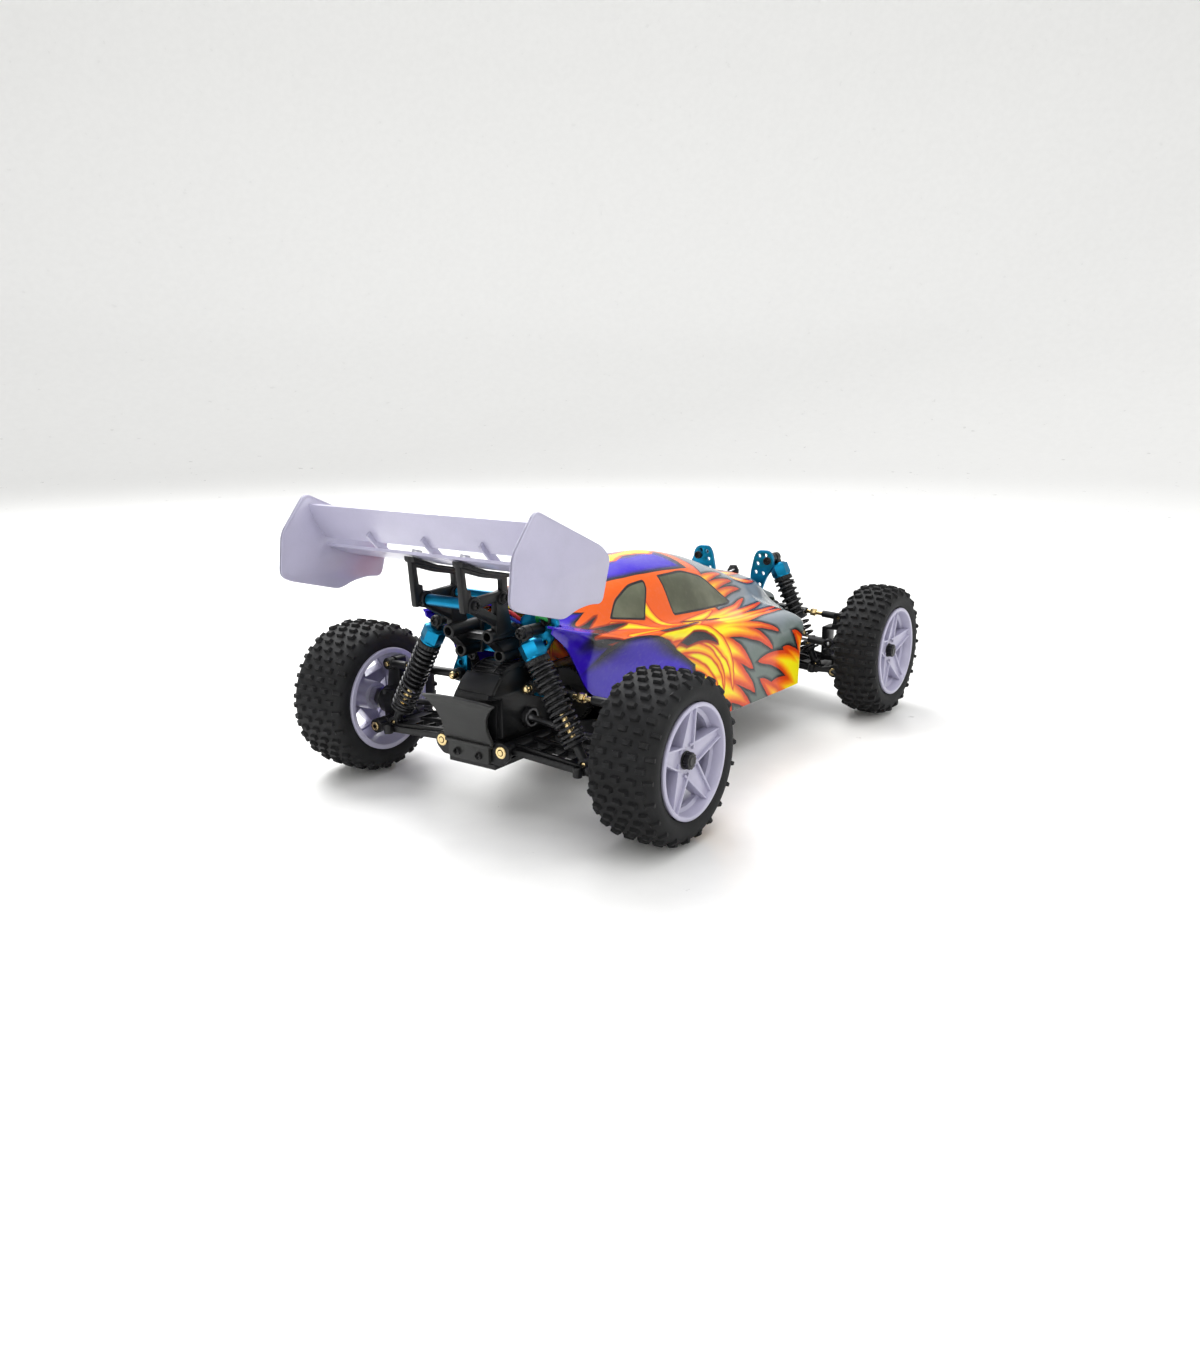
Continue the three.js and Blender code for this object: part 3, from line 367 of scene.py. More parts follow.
def shell_paint():
    """Flames on the body shell: orange with yellow cores and dark edges over slate and violet."""
    material, tree, shader = new_material("flame_paint")
    x_row, y_row, z = surface_point(tree)
    side = y_row.abs()
    curl = noise_field(tree, 26, 1.5) - 0.5
    lick = noise_field(tree, 75, 2.0, shift=5.0) - 0.5
    x = x_row - MID_X + lick * 4
    girth = side + (95 - z) + curl * 5

    # Tongues on the side, the bonnet and the lower corner. Orange fills the shell behind them.
    side_fire, side_core = tongues(x, girth, SIDE_TONGUES)
    bonnet_fire, bonnet_core = tongues(x, girth, BONNET_TONGUES)
    corner_fire, corner_core = tongues(x, girth, CORNER_TONGUES)
    behind = girth.between(80, 62) * 22 - 9 - x
    fire = side_fire.most(bonnet_fire).most(corner_fire).most(behind)
    core = side_core.most(bonnet_core).most(corner_core)

    # Wisps along the waist.
    wisp, _ = tongues(x, girth, YELLOW_WISPS)
    dark, _ = tongues(x, girth, DARK_WISPS)

    # Violet on the roof, the rear and the lower side behind the door. Along its edges the violet
    # darkens to near black over about 7 mm: painted shade, as under the waist ridge.
    roof = (7 + (x + 70) * 0.09 - girth).least(side - 5 + lick * 9).least(x * -0.6 + 1)
    lower = girth - 60 - (x + 98).most(0).power(2) * 0.0085
    lower = lower.least(x * -1 - 36)
    rear = (x + 122 + girth.spikes(17, 1.6) * -14) * -0.8
    violet = roof.most(lower).most(rear)

    # A narrow fire along the crown of the roof.
    crown = 5 + (x + 140).spikes(38, 1.6) * 5 - side + lick * 8
    crown = crown.least((x - 10) * -0.4)

    # Smoked side windows and windscreen, with dark frames.
    x_true = x_row - MID_X
    panes = window_depth(x_true, z, REAR_WINDOW).most(window_depth(x_true, z, FRONT_WINDOW))
    screen = (28 - (x_true - 34) * 0.08 - side).least((x_true - 36).least(72.5 - x_true))
    panes = panes.most(screen) - 1.9
    glass = blended(tree, (curl + lick * 0.5).between(-0.2, 0.3), SMOKE, SMOKE_LIGHT)

    # Fine overspray, which keeps the colours from being flat.
    mottle = noise_field(tree, 420, 5.0)

    shade = blended(tree, (z + lick * 20).between(62, 84), SLATE, STORM)
    coats = [
        (fire, -4.2, -1.1, INK), (fire, -1.1, -0.5, DEEP_ORANGE), (fire, 0.2, 3.0, ORANGE),
        (core, -2.2, 1.6, AMBER), (core + curl * 3, 0.2, 4.2, YELLOW),
        (wisp, -2.0, -0.7, DEEP_ORANGE), (wisp, -0.6, 0.3, AMBER), (wisp, 0.0, 2.2, YELLOW),
        (dark, -2.2, -0.8, OXBLOOD), (dark, -0.6, 0.4, INK),
        # painted shade: a thin near-black line at the violet's edge, then near black grading to full
        # violet about 7 mm in
        (violet, -1.0, 0, INK), (violet, 0.4, 7, VIOLET),
        (crown, -1.2, -0.2, ORANGE), (crown, 0.6, 4, YELLOW),
        (panes, -1.2, -0.8, INK), (panes, -0.1, 0.4, glass),
    ]
    for depth, start, full, colour in coats:
        shade = blended(tree, depth.between(start, full), shade, colour)
    shade = blended(tree, mottle.between(0.45, 0.9) * 0.03, shade, (0.8, 0.7, 0.6))
    tree.links.new(shade, shader.inputs["Base Color"])
    rough = mottle * 0.05 + 0.17 + panes.between(0, 1) * -0.08
    tree.links.new(rough.socket, shader.inputs["Roughness"])
    shader.inputs["Specular IOR Level"].default_value = 0.3
    shader.inputs["Coat Weight"].default_value = 0.2
    shader.inputs["Coat Roughness"].default_value = 0.04
    add_bump(tree, shader, noise_field(tree, 22, 2.0), 0.5, 0.3)
    return material


FINISHES = {
    "black_plastic": {"colour": (0.006, 0.0062, 0.0068), "roughness": 0.38, "tint": 0.3,
                      "gloss": 0.3},
    "grey_plastic": {"colour": (0.022, 0.0225, 0.022), "roughness": 0.46, "tint": 0.15,
                     "grain": 1800, "grain_mm": 0.05, "gloss": 0.35},
    "tyre_rubber": {"colour": (0.0095, 0.0098, 0.0105), "roughness": 0.72, "tint": 0.25,
                    "grain": 1500, "grain_mm": 0.08, "dust": (0.026, 0.025, 0.023), "gloss": 0.25},
    "lavender_plastic": {"colour": (0.42, 0.405, 0.53), "roughness": 0.3, "tint": 0.035,
                         "spread": 0.05, "grain": 900, "grain_mm": 0.01, "coat": 0.2},
    "blue_aluminium": {"colour": (0.004, 0.19, 0.36), "roughness": 0.3, "metal": 0.9,
                       "stretch": (0.15, 1, 1), "grain_mm": 0.012},
    "steel": {"colour": (0.5, 0.5, 0.51), "roughness": 0.3, "metal": 1.0, "stretch": (1, 0.1, 1)},
    "dark_steel": {"colour": (0.06, 0.06, 0.063), "roughness": 0.34, "metal": 0.8, "tint": 0.2},
    "spring_steel": {"colour": (0.013, 0.013, 0.0145), "roughness": 0.27, "metal": 0.2,
                     "tint": 0.2},
    "brass": {"colour": (0.78, 0.6, 0.3), "roughness": 0.24, "metal": 1.0},
    "battery_wrap": {"colour": (0.02, 0.09, 0.36), "roughness": 0.28, "coat": 0.4},
    "gear_nylon": {"colour": (0.06, 0.058, 0.052), "roughness": 0.45, "tint": 0.06},
    "red_wire": {"colour": (0.55, 0.015, 0.02), "roughness": 0.4},
    "blue_wire": {"colour": (0.02, 0.05, 0.5), "roughness": 0.4},
    "green_wire": {"colour": (0.01, 0.28, 0.05), "roughness": 0.4},
}


def add_materials():
    made = {name: finish_of(name, **facts) for name, facts in FINISHES.items()}
    made["flame_paint"] = shell_paint()
    return made


# ---- Forms ---------------------------------------------------------------------------------


class Form:
    """Points in millimetres and the faces between them, before they become a piece."""

    def __init__(self, points=(), faces=()):
        self.points = [Vector(p) for p in points]
        self.faces = [tuple(f) for f in faces]

    def placed(self, matrix):
        return Form([matrix @ p for p in self.points], self.faces)

    def moved(self, x=0, y=0, z=0):
        return self.placed(Matrix.Translation((x, y, z)))

    def spun(self, degrees, axis):
        return self.placed(Matrix.Rotation(math.radians(degrees), 4, axis))


def together(*forms):
    whole = Form()
    for form in forms:
        shift = len(whole.points)
        whole.points += form.points
        whole.faces += [tuple(i + shift for i in face) for face in form.faces]
    return whole


def both(form):
    return together(form, form.placed(MIRROR))


def rounded(points, reach, steps=4):
    """The outline with each corner turned into a curve that starts at reach from it."""
    loop = []
    for i, point in enumerate(points):
        corner = Vector(point)
        before = Vector(points[i - 1]) - corner
        after = Vector(points[(i + 1) % len(points)]) - corner
        entry = corner + before.normalized() * min(reach, before.length * 0.45)
        leave = corner + after.normalized() * min(reach, after.length * 0.45)
        for k in range(steps + 1):
            t = k / steps
            loop.append(entry.lerp(corner, t).lerp(corner.lerp(leave, t), t))
    return loop


def circle(centre, radius, steps=24):
    return [(centre[0] + radius * math.cos(TAU * k / steps),
             centre[1] + radius * math.sin(TAU * k / steps)) for k in range(steps)]


def toothed(steps, radius_at):
    """A closed outline about the origin whose radius goes with the number of the step."""
    return [(radius_at(k) * math.cos(TAU * k / steps), radius_at(k) * math.sin(TAU * k / steps))
            for k in range(steps)]


def mirrored(half):
    """The whole outline, from the half of it where the first coordinate isn't negative."""
    return half + [(-u, v) for u, v in reversed(half) if u]


def plane_of(axis):
    """The matrix that lays a drawing's (u, v) plane across an axis, with w along the axis."""
    x, y, z = Vector((1, 0, 0)), Vector((0, 1, 0)), Vector((0, 0, 1))
    columns = {"x": (y, z, x), "y": (x, z, -y), "z": (x, y, z)}[axis]
    return Matrix(columns).transposed().to_4x4()


def plate(axis, outline, start, end, holes=(), edge=0.35):
    """A plate with softened edges across an axis. The outline is (y, z), (x, z) or (x, y)."""
    edge = min(edge, (end - start) * 0.45)
    curve = bpy.data.curves.new("outline", "CURVE")
    curve.dimensions = "2D"
    curve.fill_mode = "BOTH"
    curve.extrude = (end - start) / 2 - edge
    curve.bevel_depth = edge
    curve.bevel_resolution = 1
    curve.offset = -edge
    for loop in (outline, *holes):
        spline = curve.splines.new("POLY")
        spline.points.add(len(loop) - 1)
        for point, (u, v) in zip(spline.points, loop):
            point.co = (u, v, 0, 1)
        spline.use_cyclic_u = True
    holder = bpy.data.objects.new("outline", curve)
    mesh = holder.to_mesh()
    middle = (start + end) / 2 * (-1 if axis == "y" else 1)
    matrix = plane_of(axis) @ Matrix.Translation((0, 0, middle))
    form = Form([matrix @ v.co for v in mesh.vertices], [p.vertices for p in mesh.polygons])
    holder.to_mesh_clear()
    bpy.data.objects.remove(holder)
    bpy.data.curves.remove(curve)
    return form


def block(xs, ys, zs, corner=0.8, edge=0.35):
    outline = [(xs[0], ys[0]), (xs[1], ys[0]), (xs[1], ys[1]), (xs[0], ys[1])]
    return plate("z", rounded(outline, corner, 3), *zs, edge=edge)


def turned(axis, profile, place=(0, 0, 0), steps=36):
    """A closed profile of (distance along the axis, radius) turned about the axis."""
    matrix = Matrix.Translation(place) @ plane_of(axis)
    sign = -1 if axis == "y" else 1
    count = len(profile)
    points = [
        matrix @ Vector((radius * math.cos(TAU * k / steps), radius * math.sin(TAU * k / steps),
                         sign * along))
        for k in range(steps) for along, radius in profile
    ]
    faces = []
    for k in range(steps):
        here, there = k * count, (k + 1) % steps * count
        for i in range(count):
            j = (i + 1) % count
            if profile[i][1] or profile[j][1]:
                faces.append((here + i, here + j, there + j, there + i))
    return Form(points, faces)


def rod(axis, place, radius, start, end, chamfer=0.3, steps=28):
    return turned(axis, [
        (start, 0), (start, radius - chamfer), (start + chamfer, radius),
        (end - chamfer, radius), (end, radius - chamfer), (end, 0),
    ], place, steps)


def tube(axis, place, radius, bore, start, end, chamfer=0.3, steps=32):
    return turned(axis, [
        (start, bore), (start, radius - chamfer), (start + chamfer, radius),
        (end - chamfer, radius), (end, radius - chamfer), (end, bore),
    ], place, steps)


def ball(place, radius, steps=20):
    profile = [(-radius * math.cos(math.pi * k / 12), radius * math.sin(math.pi * k / 12))
               for k in range(13)]
    return turned("x", profile, place, steps)


def sweep(path, radius, sides=10):
    """A round bar along a path."""
    path = [Vector(p) for p in path]
    count = len(path)
    points = []
    normal = None
    for i, centre in enumerate(path):
        along = (path[min(i + 1, count - 1)] - path[max(i - 1, 0)]).normalized()
        if normal is None:
            normal = along.orthogonal().normalized()
        normal = (normal - along * normal.dot(along)).normalized()
        other = along.cross(normal)
        points += [centre + (normal * math.cos(TAU * k / sides) + other * math.sin(
            TAU * k / sides)) * radius for k in range(sides)]
    faces = []
    for i in range(count - 1):
        here, there = i * sides, (i + 1) * sides
        for k in range(sides):
            n = (k + 1) % sides
            faces.append((here + k, here + n, there + n, there + k))
    faces.append(tuple(range(sides)))
    faces.append(tuple(range((count - 1) * sides, count * sides)))
    return Form(points, faces)


def smooth_path(points, steps=8):
    """A curve through the points."""
    points = [Vector(p) for p in points]
    path = []
    for i in range(len(points) - 1):
        a, b = points[max(i - 1, 0)], points[i]
        c, d = points[i + 1], points[min(i + 2, len(points) - 1)]
        for k in range(steps):
            t = k / steps
            path.append(0.5 * (2 * b + (c - a) * t + (2 * a - 5 * b + 4 * c - d) * t * t
                               + (3 * b - a - 3 * c + d) * t ** 3))
    return path + [points[-1]]


def eye(half, flat, bore, radius, place, steps):
    """A ring round x with bevelled sides, which holds a ball or a screw."""
    profile = [(-half, bore), (-half, 2.9), (-flat, radius), (flat, radius), (half, 2.9),
               (half, bore)]
    return turned("x", profile, place, steps)


def nut(axis, across, start, end):
    return plate(axis, circle((0, 0), across / math.sqrt(3), 6), start, end, edge=0.3)


def screw_head(radius=2.3, height=1.6, socket=0.0):
    """A pan head on the +x side of the origin with a cross, or a hexagon socket, in it."""
    arm, half = radius * 0.62, radius * 0.17
    cross = [(half, half), (half, arm), (-half, arm), (-half, half), (-arm, half), (-arm, -half),
             (-half, -half), (-half, -arm), (half, -arm), (half, -half), (arm, -half), (arm, half)]
    recess = circle((0, 0), socket, 6) if socket else cross
    return together(
        rod("x", (0, 0, 0), radius, -0.2, height * 0.45, 0.15, 20),
        plate("x", circle((0, 0), radius, 20), height * 0.4, height, [recess], height * 0.25),
    )


def piece(name, form, body, material, slot=None, stands_for=(), sharp=32):
    """Makes the form a piece of the scene. It rides on the body, unless that is None."""
    mesh = bpy.data.meshes.new(name)
    build = bmesh.new()
    corners = [build.verts.new(TO_ROW @ p) for p in form.points]
    for face in form.faces:
        if len(set(face)) > 2:
            try:
                build.faces.new([corners[i] for i in face])
            except ValueError:
                continue
    bmesh.ops.remove_doubles(build, verts=build.verts, dist=1e-6)
    bmesh.ops.recalc_face_normals(build, faces=build.faces)
    build.to_mesh(mesh)
    build.free()
    mesh.shade_smooth()
    mesh.set_sharp_from_angle(angle=math.radians(sharp))
    mesh.materials.append(MATERIALS[material])
    made = bpy.data.objects.new(name, mesh)
    bpy.context.scene.collection.objects.link(made)
    slot = slot or material
    if body:
        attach(made, body)
    if stands_for:
        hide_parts(*stands_for)
    return made


# ---- The two ends of the suspension --------------------------------------------------------


def pivot(name):
    """A joint's place, as x and (y, z) in the millimetres of the forms."""
    place = PIVOTS[name]
    return place.x - MID_X, Vector((place.y, place.z))


class End:
    """Pivots of one end, on the left side, as (y, z), and what differs between the ends."""

    def __init__(self, name, **facts):
        self.name = name
        self.__dict__.update(facts)
        self.x, self.arm_inner = pivot(f"{name}_left_suspension")
        self.link_x, self.link_inner = pivot(f"{name}_left_upper_link_pivot")
        self.shock_x, self.shock_top = pivot(f"{name}_left_shock_pivot")
        _, self.cup = pivot(f"{name}_left_drive_shaft_tilt")
        low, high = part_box(f"{name}_left_rim")
        self.wheel_y = (low.y + high.y) / 2 / MM
        self.half_width = (high.y - low.y) / 2 / MM
        self.wheel_z = (low.z + high.z) / 2 / MM


REAR = End("rear", arm_outer=Vector((78, 33)), link_outer=Vector((78, 67)),
           shock_bottom=Vector((66, 36.5)), joint_y=76.5, ear_inner=12.5, ear_outer=18.5)
FRONT = End("front", arm_outer=Vector((76, 27)), link_outer=Vector((74, 63)),
            shock_bottom=Vector((62, 30.5)), joint_y=76.0, ear_inner=8.5, ear_outer=14.0)
SIDES = (("left", 1), ("right", -1))


def on_side(form, side):
    return form if side > 0 else form.placed(MIRROR)


def along_link(x, inner, outer):
    """The frame of a link: its origin at the inner pivot and y along it to the outer pivot."""
    turn = Matrix.Rotation(math.atan2(outer.y - inner.y, outer.x - inner.x), 4, "X")
    return Matrix.Translation((x, inner.x, inner.y)) @ turn


# ---- Wheels --------------------------------------------------------------------------------

TYRE_RADIUS = 44.0
PIN_ROWS = 44
PIN_HEIGHT = 2.0
BAR_HEIGHT = 1.3
BAR_SHARE = 0.88


def carcass(w):
    """The tyre's outside from one bead to the crown, as (distance from the middle, radius)."""
    return [(w - 2.6, 29.4), (w - 1.6, 29.9), (w - 1.2, 31), (w - 0.4, 33), (w - 0.05, 35.2),
            (w - 0.4, 37.4), (w - 1.5, 39.2), (w - 3.4, 40.5), (w - 6, 41.2), (w - 9, 41.7), (0, 42)]


def tread_at(w, across):
    """The carcass radius at a distance from the middle, and its outward normal."""
    sign = -1 if across < 0 else 1
    outline = carcass(w)[4:]
    for (a0, r0), (a1, r1) in zip(outline, outline[1:]):
        if a1 <= abs(across) <= a0:
            t = (abs(across) - a1) / (a0 - a1)
            normal = Vector((r1 - r0, a0 - a1)).normalized()
            return r1 + (r0 - r1) * t, Vector((normal.x * sign, normal.y))
    return outline[0][1], Vector((sign, 0))


def tread_pin(w, across, angle, outline, tallest):
    """A tapered rubber pin that stands on the carcass."""
    radius, normal = tread_at(w, across)
    radial = Vector((math.cos(angle), 0, math.sin(angle)))
    ahead = Vector((-math.sin(angle), 0, math.cos(angle)))
    side = Vector((0, 1, 0))
    out = side * normal.x + radial * normal.y
    lateral = side * normal.y - radial * normal.x
    height = min(tallest, max(1.2, (TYRE_RADIUS - radius) / max(normal.y, 0.8)))
    foot = side * across + radial * radius
    points = []
    for lift, scale in ((-0.6, 1.14), (0.0, 1.07), (height - 0.35, 0.9), (height, 0.8)):
        points += [foot + out * lift + ahead * (t * scale) + lateral * (s * scale)
                   for t, s in outline]
    count = len(outline)
    faces = [tuple(range(3 * count, 4 * count))]
    for level in range(3):
        for i in range(count):
            j = (i + 1) % count
            faces.append((level * count + i, level * count + j,
                          (level + 1) * count + j, (level + 1) * count + i))
    return Form(points, faces)


def tyre(end):
    """A hollow carcass with staggered rows of pins, and slanted bars at its shoulders."""
    w = end.half_width
    outside = carcass(w)
    outside += [(-a, r) for a, r in reversed(outside[:-1])]
    inside = [(a * 0.9, r - 1.7) for a, r in reversed(outside) if r > 30]
    forms = [turned("y", outside + inside, steps=96)]
    square = [(-1.35, -2.2), (1.35, -2.2), (1.35, 2.2), (-1.35, 2.2)]
    bar = [(-0.9, -2.4), (1.1, -2.4), (0.9, 2.4), (-1.1, 2.4)]
    even, odd = ((0.0, 0.46), (0.23, 0.69)) if end is REAR else ((0.0, 0.5), (0.25, 0.74))
    for row in range(PIN_ROWS):
        angle = TAU * row / PIN_ROWS
        for share in (odd if row % 2 else even):
            for sign in ((1, -1) if share else (1,)):
                forms.append(tread_pin(w, sign * share * w, angle, square, PIN_HEIGHT))
        if row % 2 == 0:
            for sign in (1, -1):
                forms.append(tread_pin(w, sign * BAR_SHARE * w, angle, bar, BAR_HEIGHT))
    return together(*forms).moved(end.x, end.wheel_y, end.wheel_z)


HUB_DEPTH = 6.3
SPOKE_DEPTH = 1.6


def dished(form, w):
    """Sinks a flat star towards the hub, from the depth of its tips to the depth of the hub."""
    points = []
    for p in form.points:
        share = min(1, max(0, (27 - math.hypot(p.x, p.z)) / 19))
        depth = SPOKE_DEPTH + (HUB_DEPTH - SPOKE_DEPTH - 1.4) * share
        points.append(Vector((p.x, p.y + w - depth, p.z)))
    return Form(points, form.faces)


def rim(end):
    """A barrel with a stepped mouth and a star of five hollow spokes edged by two ridges each."""
    w = end.half_width
    barrel = turned("y", [
        (w, 27.9), (w - 0.15, 28.9), (w - 0.6, 29.4), (w - 1.5, 29.4), (w - 2.3, 28.3),
        (-w + 2.3, 28.3), (-w + 1.5, 30), (-w + 0.5, 30), (-w, 29.4), (-w, 27.2),
        (-w + 1.2, 26.4), (w - 9.6, 25), (w - 9.2, 24.2), (w - 6.6, 24.2), (w - 6.2, 25.6),
        (w - 5.8, 26.2), (w - 1.2, 26.9), (w - 0.3, 27.3),
    ], steps=96)
    hub = turned("y", [
        (-7, 2.9), (-7, 8.2), (w - 12, 8.6), (w - 9, 9.6), (w - HUB_DEPTH - 0.5, 7.4),
        (w - HUB_DEPTH, 6.9), (w - HUB_DEPTH, 2.9),
    ], steps=40)
    web = plate("y", [(4, -6.2), (26.9, -2.6), (26.9, 2.6), (4, 6.2)], -7.4, -1.5)
    ridges = []
    for sign in (1, -1):
        outline = [(4.5, sign * 6.5), (27.3, sign * 2.9), (27.3, sign * 1.9), (4.5, sign * 5.2)]
        ridges.append(plate("y", outline, -7.6, 0.0, edge=0.3))
    spoke = dished(together(web, *ridges), w)
    spokes = [spoke.spun(-90 + 72 * i, "Y") for i in range(5)]
    return together(barrel, hub, *spokes).moved(end.x, end.wheel_y, end.wheel_z)


def wheel_nut(end):
    """A serrated flanged nut on the threaded end of the stub axle."""
    face = end.half_width - HUB_DEPTH
    serrated = toothed(48, lambda k: 4.3 if k % 4 < 2 else 3.95)
    form = together(
        turned("y", [(face + 0.1, 2.6), (face + 0.1, 4.7), (face + 0.6, 4.7), (face + 0.9, 4.2),
                     (face + 0.9, 2.6)], steps=32),
        plate("y", serrated, face + 0.8, face + 3.9, [circle((0, 0), 2.4, 20)], 0.3),
        turned("y", [(face + 3.2, 0), (face + 3.2, 3.4), (face + 4.0, 3.1), (face + 4.4, 2.3),
                     (face + 4.1, 0)], steps=28),
    )
    return form.moved(end.x, end.wheel_y, end.wheel_z)


def stub_axle(end):
    """A stub axle with its drive cup and the hexagon that turns the wheel."""
    mouth = end.joint_y - 2 - end.wheel_y
    tip = end.half_width - HUB_DEPTH + 3.0
    axle = together(
        turned("y", [
            (mouth, 3.9), (mouth, 4.7), (mouth + 0.4, 5), (mouth + 7, 5), (mouth + 8, 4.2),
            (mouth + 8, 2.5), (tip - 0.5, 2.5), (tip, 1.9), (tip, 0), (mouth + 6, 0), (mouth + 6, 3.9),
        ], steps=28),
        plate("y", circle((0, 0), 6.5, 6), -11.8, -7.4, edge=0.4),
    )
    return axle.moved(end.x, end.wheel_y, end.wheel_z)


# ---- Shocks --------------------------------------------------------------------------------

SPRING_TOP = 17.9
SEAT_FROM_EYE = 12.6
COIL_RADIUS = 6.0
WIRE_RADIUS = 0.82


def shock_frame(end):
    """The frame of a shock: its origin at the upper eye and -z down to the lower eye."""
    up = end.shock_top - end.shock_bottom
    lean = Matrix.Rotation(math.atan2(up.y, up.x) - math.pi / 2, 4, "X")
    return Matrix.Translation((end.shock_x, *end.shock_top)) @ lean, up.length


def shock_eye(z):
    return eye(2.5, 2, 1.7, 3.4, (0, 0, z), 28)


def shock_cylinder():
    """The eye, the knurled ring for the spring and the threaded cylinder."""
    thread = [(-14.5, 0), (-14.5, 4.6)]
    for k in range(22):
        z = -17.8 - k * 1.15
        thread += [(z, 4.25), (z - 0.3, 4.75), (z - 0.7, 4.75), (z - 1.0, 4.25)]
    thread += [(-43.2, 5.1), (-45, 5.1), (-45.4, 4.6), (-45.4, 0)]
    knurls = toothed(60, lambda k: 6.4 if k % 3 else 6.1)
    return together(
        shock_eye(0),
        block((-2.3, 2.3), (-2.6, 2.6), (-5.6, -2.2)),
        turned("z", thread, steps=28),
        plate("z", knurls, -17.5, -14.6, edge=0.3),
    )


def shock_cap():
    """The hexagonal anodised cap over the top of the cylinder."""
    shoulder = turned("z", [(-4.6, 0), (-4.6, 4.2), (-5.4, 5.2), (-6, 5.6), (-6, 0)], steps=36)
    hexagon = plate("z", circle((0, 0), 6.5, 6), -13.6, -5.6, edge=0.7)
    skirt = turned("z", [(-13.4, 0), (-13.4, 5.9), (-14.4, 5.9), (-14.4, 0)], steps=36)
    return together(shoulder, hexagon, skirt)


def shock_shaft(length):
    """The bright shaft, its two collars and the ball in the lower eye."""
    seat = -length + SEAT_FROM_EYE
    return together(
        rod("z", (0, 0, 0), 1.5, seat - 4, -40, 0.1, 20),
        tube("z", (0, 0, 0), 2.4, 1.4, seat + 1.5, seat + 2.3, 0.15, 20),
        tube("z", (0, 0, 0), 2.6, 1.4, seat + 6.0, seat + 6.9, 0.15, 20),
        ball((0, 0, -length), 2.2),
    )


def shock_foot(length):
    """The lower eye and the seat of the spring."""
    seat = -length + SEAT_FROM_EYE
    return together(
        shock_eye(-length),
        turned("z", [(-length + 2.6, 0), (-length + 2.6, 2.4), (seat - 3, 2.6), (seat - 1.9, 3.6),
                     (seat - 1.8, 6.4), (seat - 0.7, 6.5), (seat - 0.4, 6.3), (seat - 0.4, 4.4),
                     (seat + 1.2, 4.2), (seat + 1.2, 0)], steps=32),
    )


def coil_spring(length, turns):
    """A helix from the knurled ring to the seat, with its end turns lying flat."""
    top, bottom = -SPRING_TOP - 0.6, -length + SEAT_FROM_EYE + 0.5
    path = []
    steps = int(turns * 20)
    dead = 0.75
    for k in range(steps + 1):
        turn = turns * k / steps
        share = min(1, max(0, (turn - dead) / (turns - 2 * dead)))
        z = top + (bottom - top) * (share * 0.96 + 0.02) + (turn - turns / 2) * -0.02
        path.append((COIL_RADIUS * math.cos(TAU * turn), COIL_RADIUS * math.sin(TAU * turn), z))
    return sweep(path, WIRE_RADIUS, 8)


# ---- Arms, links and hubs ------------------------------------------------------------------

ARM_HALF = 22.0


def lower_arm(end):
    """The lower arm: a ribbed plate between two barrels, with windows and a slot for the shock."""
    matrix = along_link(end.x, end.arm_inner, end.arm_outer)
    length = (end.arm_outer - end.arm_inner).length
    shock = matrix.inverted() @ Vector((end.x, *end.shock_bottom))
    slot_y = shock.y
    slot_x = end.shock_x - end.x
    tip = end.ear_outer
    gap = end.ear_inner + 0.3
    outline = [
        (-ARM_HALF, 1), (-ARM_HALF + 2, 12), (-19, length - 12), (-tip, length - 3), (-tip, length),
        (-gap, length), (-gap, length - 7), (gap, length - 7), (gap, length),
        (tip, length), (tip, length - 3), (16, length - 14), (ARM_HALF - 2, 12), (ARM_HALF, 1),
    ]
    holes = [rounded([(slot_x - 3.6, slot_y - 5.6), (slot_x + 3.6, slot_y - 5.6),
                      (slot_x + 3.6, slot_y + 5.6), (slot_x - 3.6, slot_y + 5.6)], 1)]
    for x0, x1, last in ((-14.5, -3.0, slot_y - 8), (0.5, 12.5, length - 12)):
        step = (last - 7.5) / 3
        for k in range(3):
            y0 = 7.5 + step * k
            y1 = y0 + step - 2.2
            lean = (2.2 if k % 2 else -2.2) * 0.4
            holes.append(rounded([(x0, y0), (x1, y0 + lean), (x1, y1), (x0, y1 + lean)], 0.9))
    forms = [plate("z", rounded(outline, 1.2, 2), -1.6, 1.6, holes)]
    rail_end = length - 10
    for x0, x1, stop in ((-17.6, -15.6, rail_end), (13.2, 15.2, rail_end), (-2.2, -0.4, slot_y - 7)):
        rail = [(2, -3.2), (stop, -2.6), (stop, 2.4), (length * 0.5, 3.3), (2, 3.6)]
        forms.append(plate("x", rounded(rail, 0.8), x0, x1, edge=0.3))
    forms.append(tube("x", (0, 0, 0), 4.1, 1.9, -ARM_HALF, ARM_HALF))
    for sign in (1, -1):
        low, high = sorted((sign * end.ear_inner, sign * end.ear_outer))
        forms.append(tube("x", (0, length, 0), 4.1, 1.9, low, high))
    forms.append(rod("z", (tip - 3, length - 7, 0), 1.3, 0, 3.0))
    boss_places = (slot_x - 6.3,) if end is FRONT else (slot_x - 6.3, slot_x + 6.3)
    forms += [tube("z", (x, slot_y, 0), 2.5, 1.2, -2.6, 2.8) for x in boss_places]
    return together(*forms).placed(matrix)


def arm_pins(end):
    """The outer ends of the hinge pins, which show as bright rings."""
    matrix = along_link(end.x, end.arm_inner, end.arm_outer)
    length = (end.arm_outer - end.arm_inner).length
    outer = end.ear_outer + 0.6
    rings = [tube("x", (x, length, 0), 2.5, 1.2, -0.4, 0.4, 0.15, 20) for x in (outer, -outer)]
    return together(*rings).placed(matrix)


